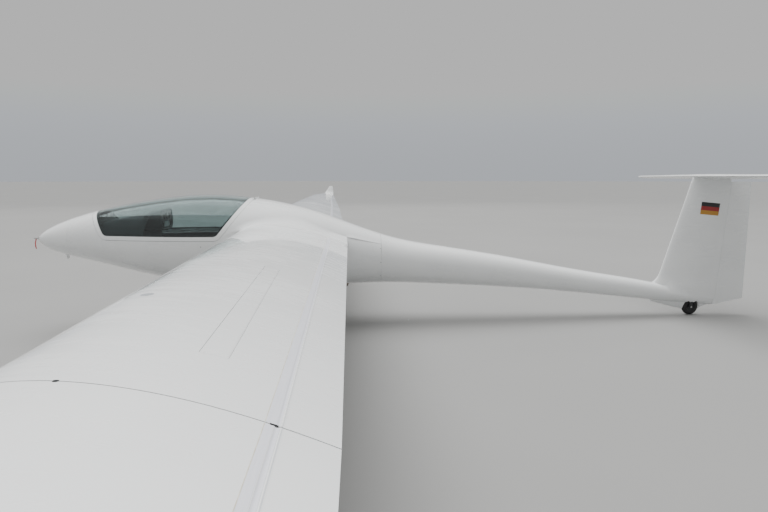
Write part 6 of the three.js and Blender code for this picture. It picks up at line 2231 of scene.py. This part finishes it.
def tail_hinge(y):
    lead, trail = tail_plan(y)
    u = (TAIL["hinge"] - lead) / (trail - lead)
    radius = tail_section(u) * (trail - lead)
    return np.stack([np.full_like(y, TAIL["hinge"]), y, np.full_like(y, TAIL["z"])], axis=-1), radius, u


ELEVATOR_END = 1.450
y = np.concatenate([np.linspace(-ELEVATOR_END - 0.003, 0, 30)[:-1], np.linspace(0, ELEVATOR_END + 0.003, 30)])
hinge, radius, at_hinge = tail_hinge(y)
lead, trail = tail_plan(y)
lip = at_hinge - np.sqrt((radius + COVE) ** 2 - radius**2) / (trail - lead)
middle_part = fixed_panel(tail_skin, y, lip, hinge, radius + COVE)
shares = cosine_spaced(0, 1, 50)
quarter = np.sin(np.linspace(0, 1, 16) * np.pi / 2)[:, None]
tip = ELEVATOR_END + 0.003 + (TAIL["half"] - ELEVATOR_END - 0.0035) * quarter
tip_part = loft(np.concatenate([tail_skin(+1, shares[::-1], tip), tail_skin(-1, shares[1:], tip)], axis=1))
shape = joined(loft(middle_part), tip_part, mirrored(tip_part))
piece("stabilizer_skin", shape, "airframe", WHITE, ["stabilizer"])

# %% Elevator
side_y = [np.linspace(0.110, ELEVATOR_END, 24), np.linspace(0.038, 0.110, 6), [0.0, 0.02]]
side_y = np.unique(np.concatenate(side_y))
y = np.concatenate([-side_y[:0:-1], side_y])
hinge, radius, at_hinge = tail_hinge(y)
lead, trail = tail_plan(y)
notch = TAIL["hinge"] + 0.062 + np.maximum(np.abs(y) - 0.038, 0) * 0.168 / 0.072
rear = np.minimum((notch - lead) / (trail - lead), 1.0)
loops = moving_surface(tail_skin, y, at_hinge, at_hinge - 0.03, hinge, radius, rear)
piece("elevator_skin", loft(loops), "elevator", WHITE, ["elevator_strip", "elevator_right", "elevator_left"])

# %% [markdown]
# ## Finishes in the record
#
# The record names ten finishes for the whole aircraft, so that a scene can repaint it.

# %% [markdown]
# ## Floor, light and camera
#
# The stage is a plain pale floor under large soft lamps. The camera stands behind the port wing, a
# little above it, where the photograph was taken: its place and lens were worked out from known
# points of the aircraft.

# %% Stage
STAGE_GREY = Finish("studio_floor", Roughness=0.8)
floor_tone = STAGE_GREY.noise(STAGE_GREY.place(), 0.35, 4.0)
STAGE_GREY.feed(Base_Color=STAGE_GREY.mix(floor_tone, rgb(0.235, 0.235, 0.230), rgb(0.27, 0.27, 0.265)))
spokes = np.linspace(0, 2 * np.pi, 97)[:-1]
reach = np.array([0.01, 2, 8, 20, 50, 120, 300])[:, None]
rings = np.stack([reach * np.cos(spokes), reach * np.sin(spokes), 0 * reach * spokes], axis=-1)
floor_points, floor_faces = loft(rings, caps=False)
floor_mesh = make_mesh("studio_floor", floor_points, floor_faces)
studio_floor = bpy.data.objects.new("studio_floor", floor_mesh)
bpy.context.scene.collection.objects.link(studio_floor)
STAGE_GREY.put_on(studio_floor)

world = bpy.data.worlds.new("studio")
bpy.context.scene.world = world
world.use_nodes = True
nodes, links = world.node_tree.nodes, world.node_tree.links
sky = nodes["Background"]
sky.inputs["Strength"].default_value = 0.58
direction = nodes.new("ShaderNodeTexCoord").outputs["Generated"]
split = nodes.new("ShaderNodeSeparateXYZ")
links.new(direction, split.inputs["Vector"])
dome = nodes.new("ShaderNodeValToRGB")
dome.color_ramp.interpolation = "B_SPLINE"
tones = {
    0.0: (0.80, 0.84, 0.90), 0.15: (0.92, 0.96, 1.02), 0.35: (1.60, 1.66, 1.76),
    0.65: (1.40, 1.45, 1.54), 1.0: (1.1, 1.14, 1.22),
}
while len(dome.color_ramp.elements) < len(tones):
    dome.color_ramp.elements.new(0.5)
for stop, (place, tone) in zip(dome.color_ramp.elements, tones.items()):
    stop.position, stop.color = place, rgb(*tone)
links.new(split.outputs["Z"], dome.inputs["Fac"])
links.new(dome.outputs["Color"], sky.inputs["Color"])


def soft_lamp(name, place, target, size, power_watts, colour=(1, 1, 1)):
    """Rectangular area lamp that looks at a point; camera and mirror images see only its light."""
    lamp = bpy.data.lights.new(name, "AREA")
    lamp.shape = "RECTANGLE"
    lamp.size, lamp.size_y = size
    lamp.energy = power_watts
    lamp.color = colour
    thing = bpy.data.objects.new(name, lamp)
    bpy.context.scene.collection.objects.link(thing)
    thing.location = place
    thing.rotation_euler = (Vector(target) - Vector(place)).to_track_quat("-Z", "Y").to_euler()
    thing.visible_camera = thing.visible_glossy = False


soft_lamp("overhead", (-1, 1, 15), (0, 0, 0), (26, 20), 1400)
soft_lamp("far_side", (-4, 26, 13), (-1, 0, 1), (34, 11), 1800, (1.0, 0.985, 0.96))
even = bpy.data.lights.new("even_daylight", "SUN")
even.energy, even.angle = 4.6, math.radians(60)
even_lamp = bpy.data.objects.new("even_daylight", even)
even_lamp.rotation_euler = (math.radians(-14), math.radians(-12), 0)
even_lamp.visible_glossy = False
bpy.context.scene.collection.objects.link(even_lamp)

# %% Camera
camera_data = bpy.data.cameras.new("camera")
camera_data.lens, camera_data.sensor_width = 26.0, 36.0
camera_data.clip_end = 300
camera = bpy.data.objects.new("camera", camera_data)
camera.location = (-0.815, -6.498, 1.700)
camera.rotation_euler = (math.radians(81.99), 0.0, math.radians(-4.55))
bpy.context.scene.collection.objects.link(camera)
bpy.context.scene.camera = camera
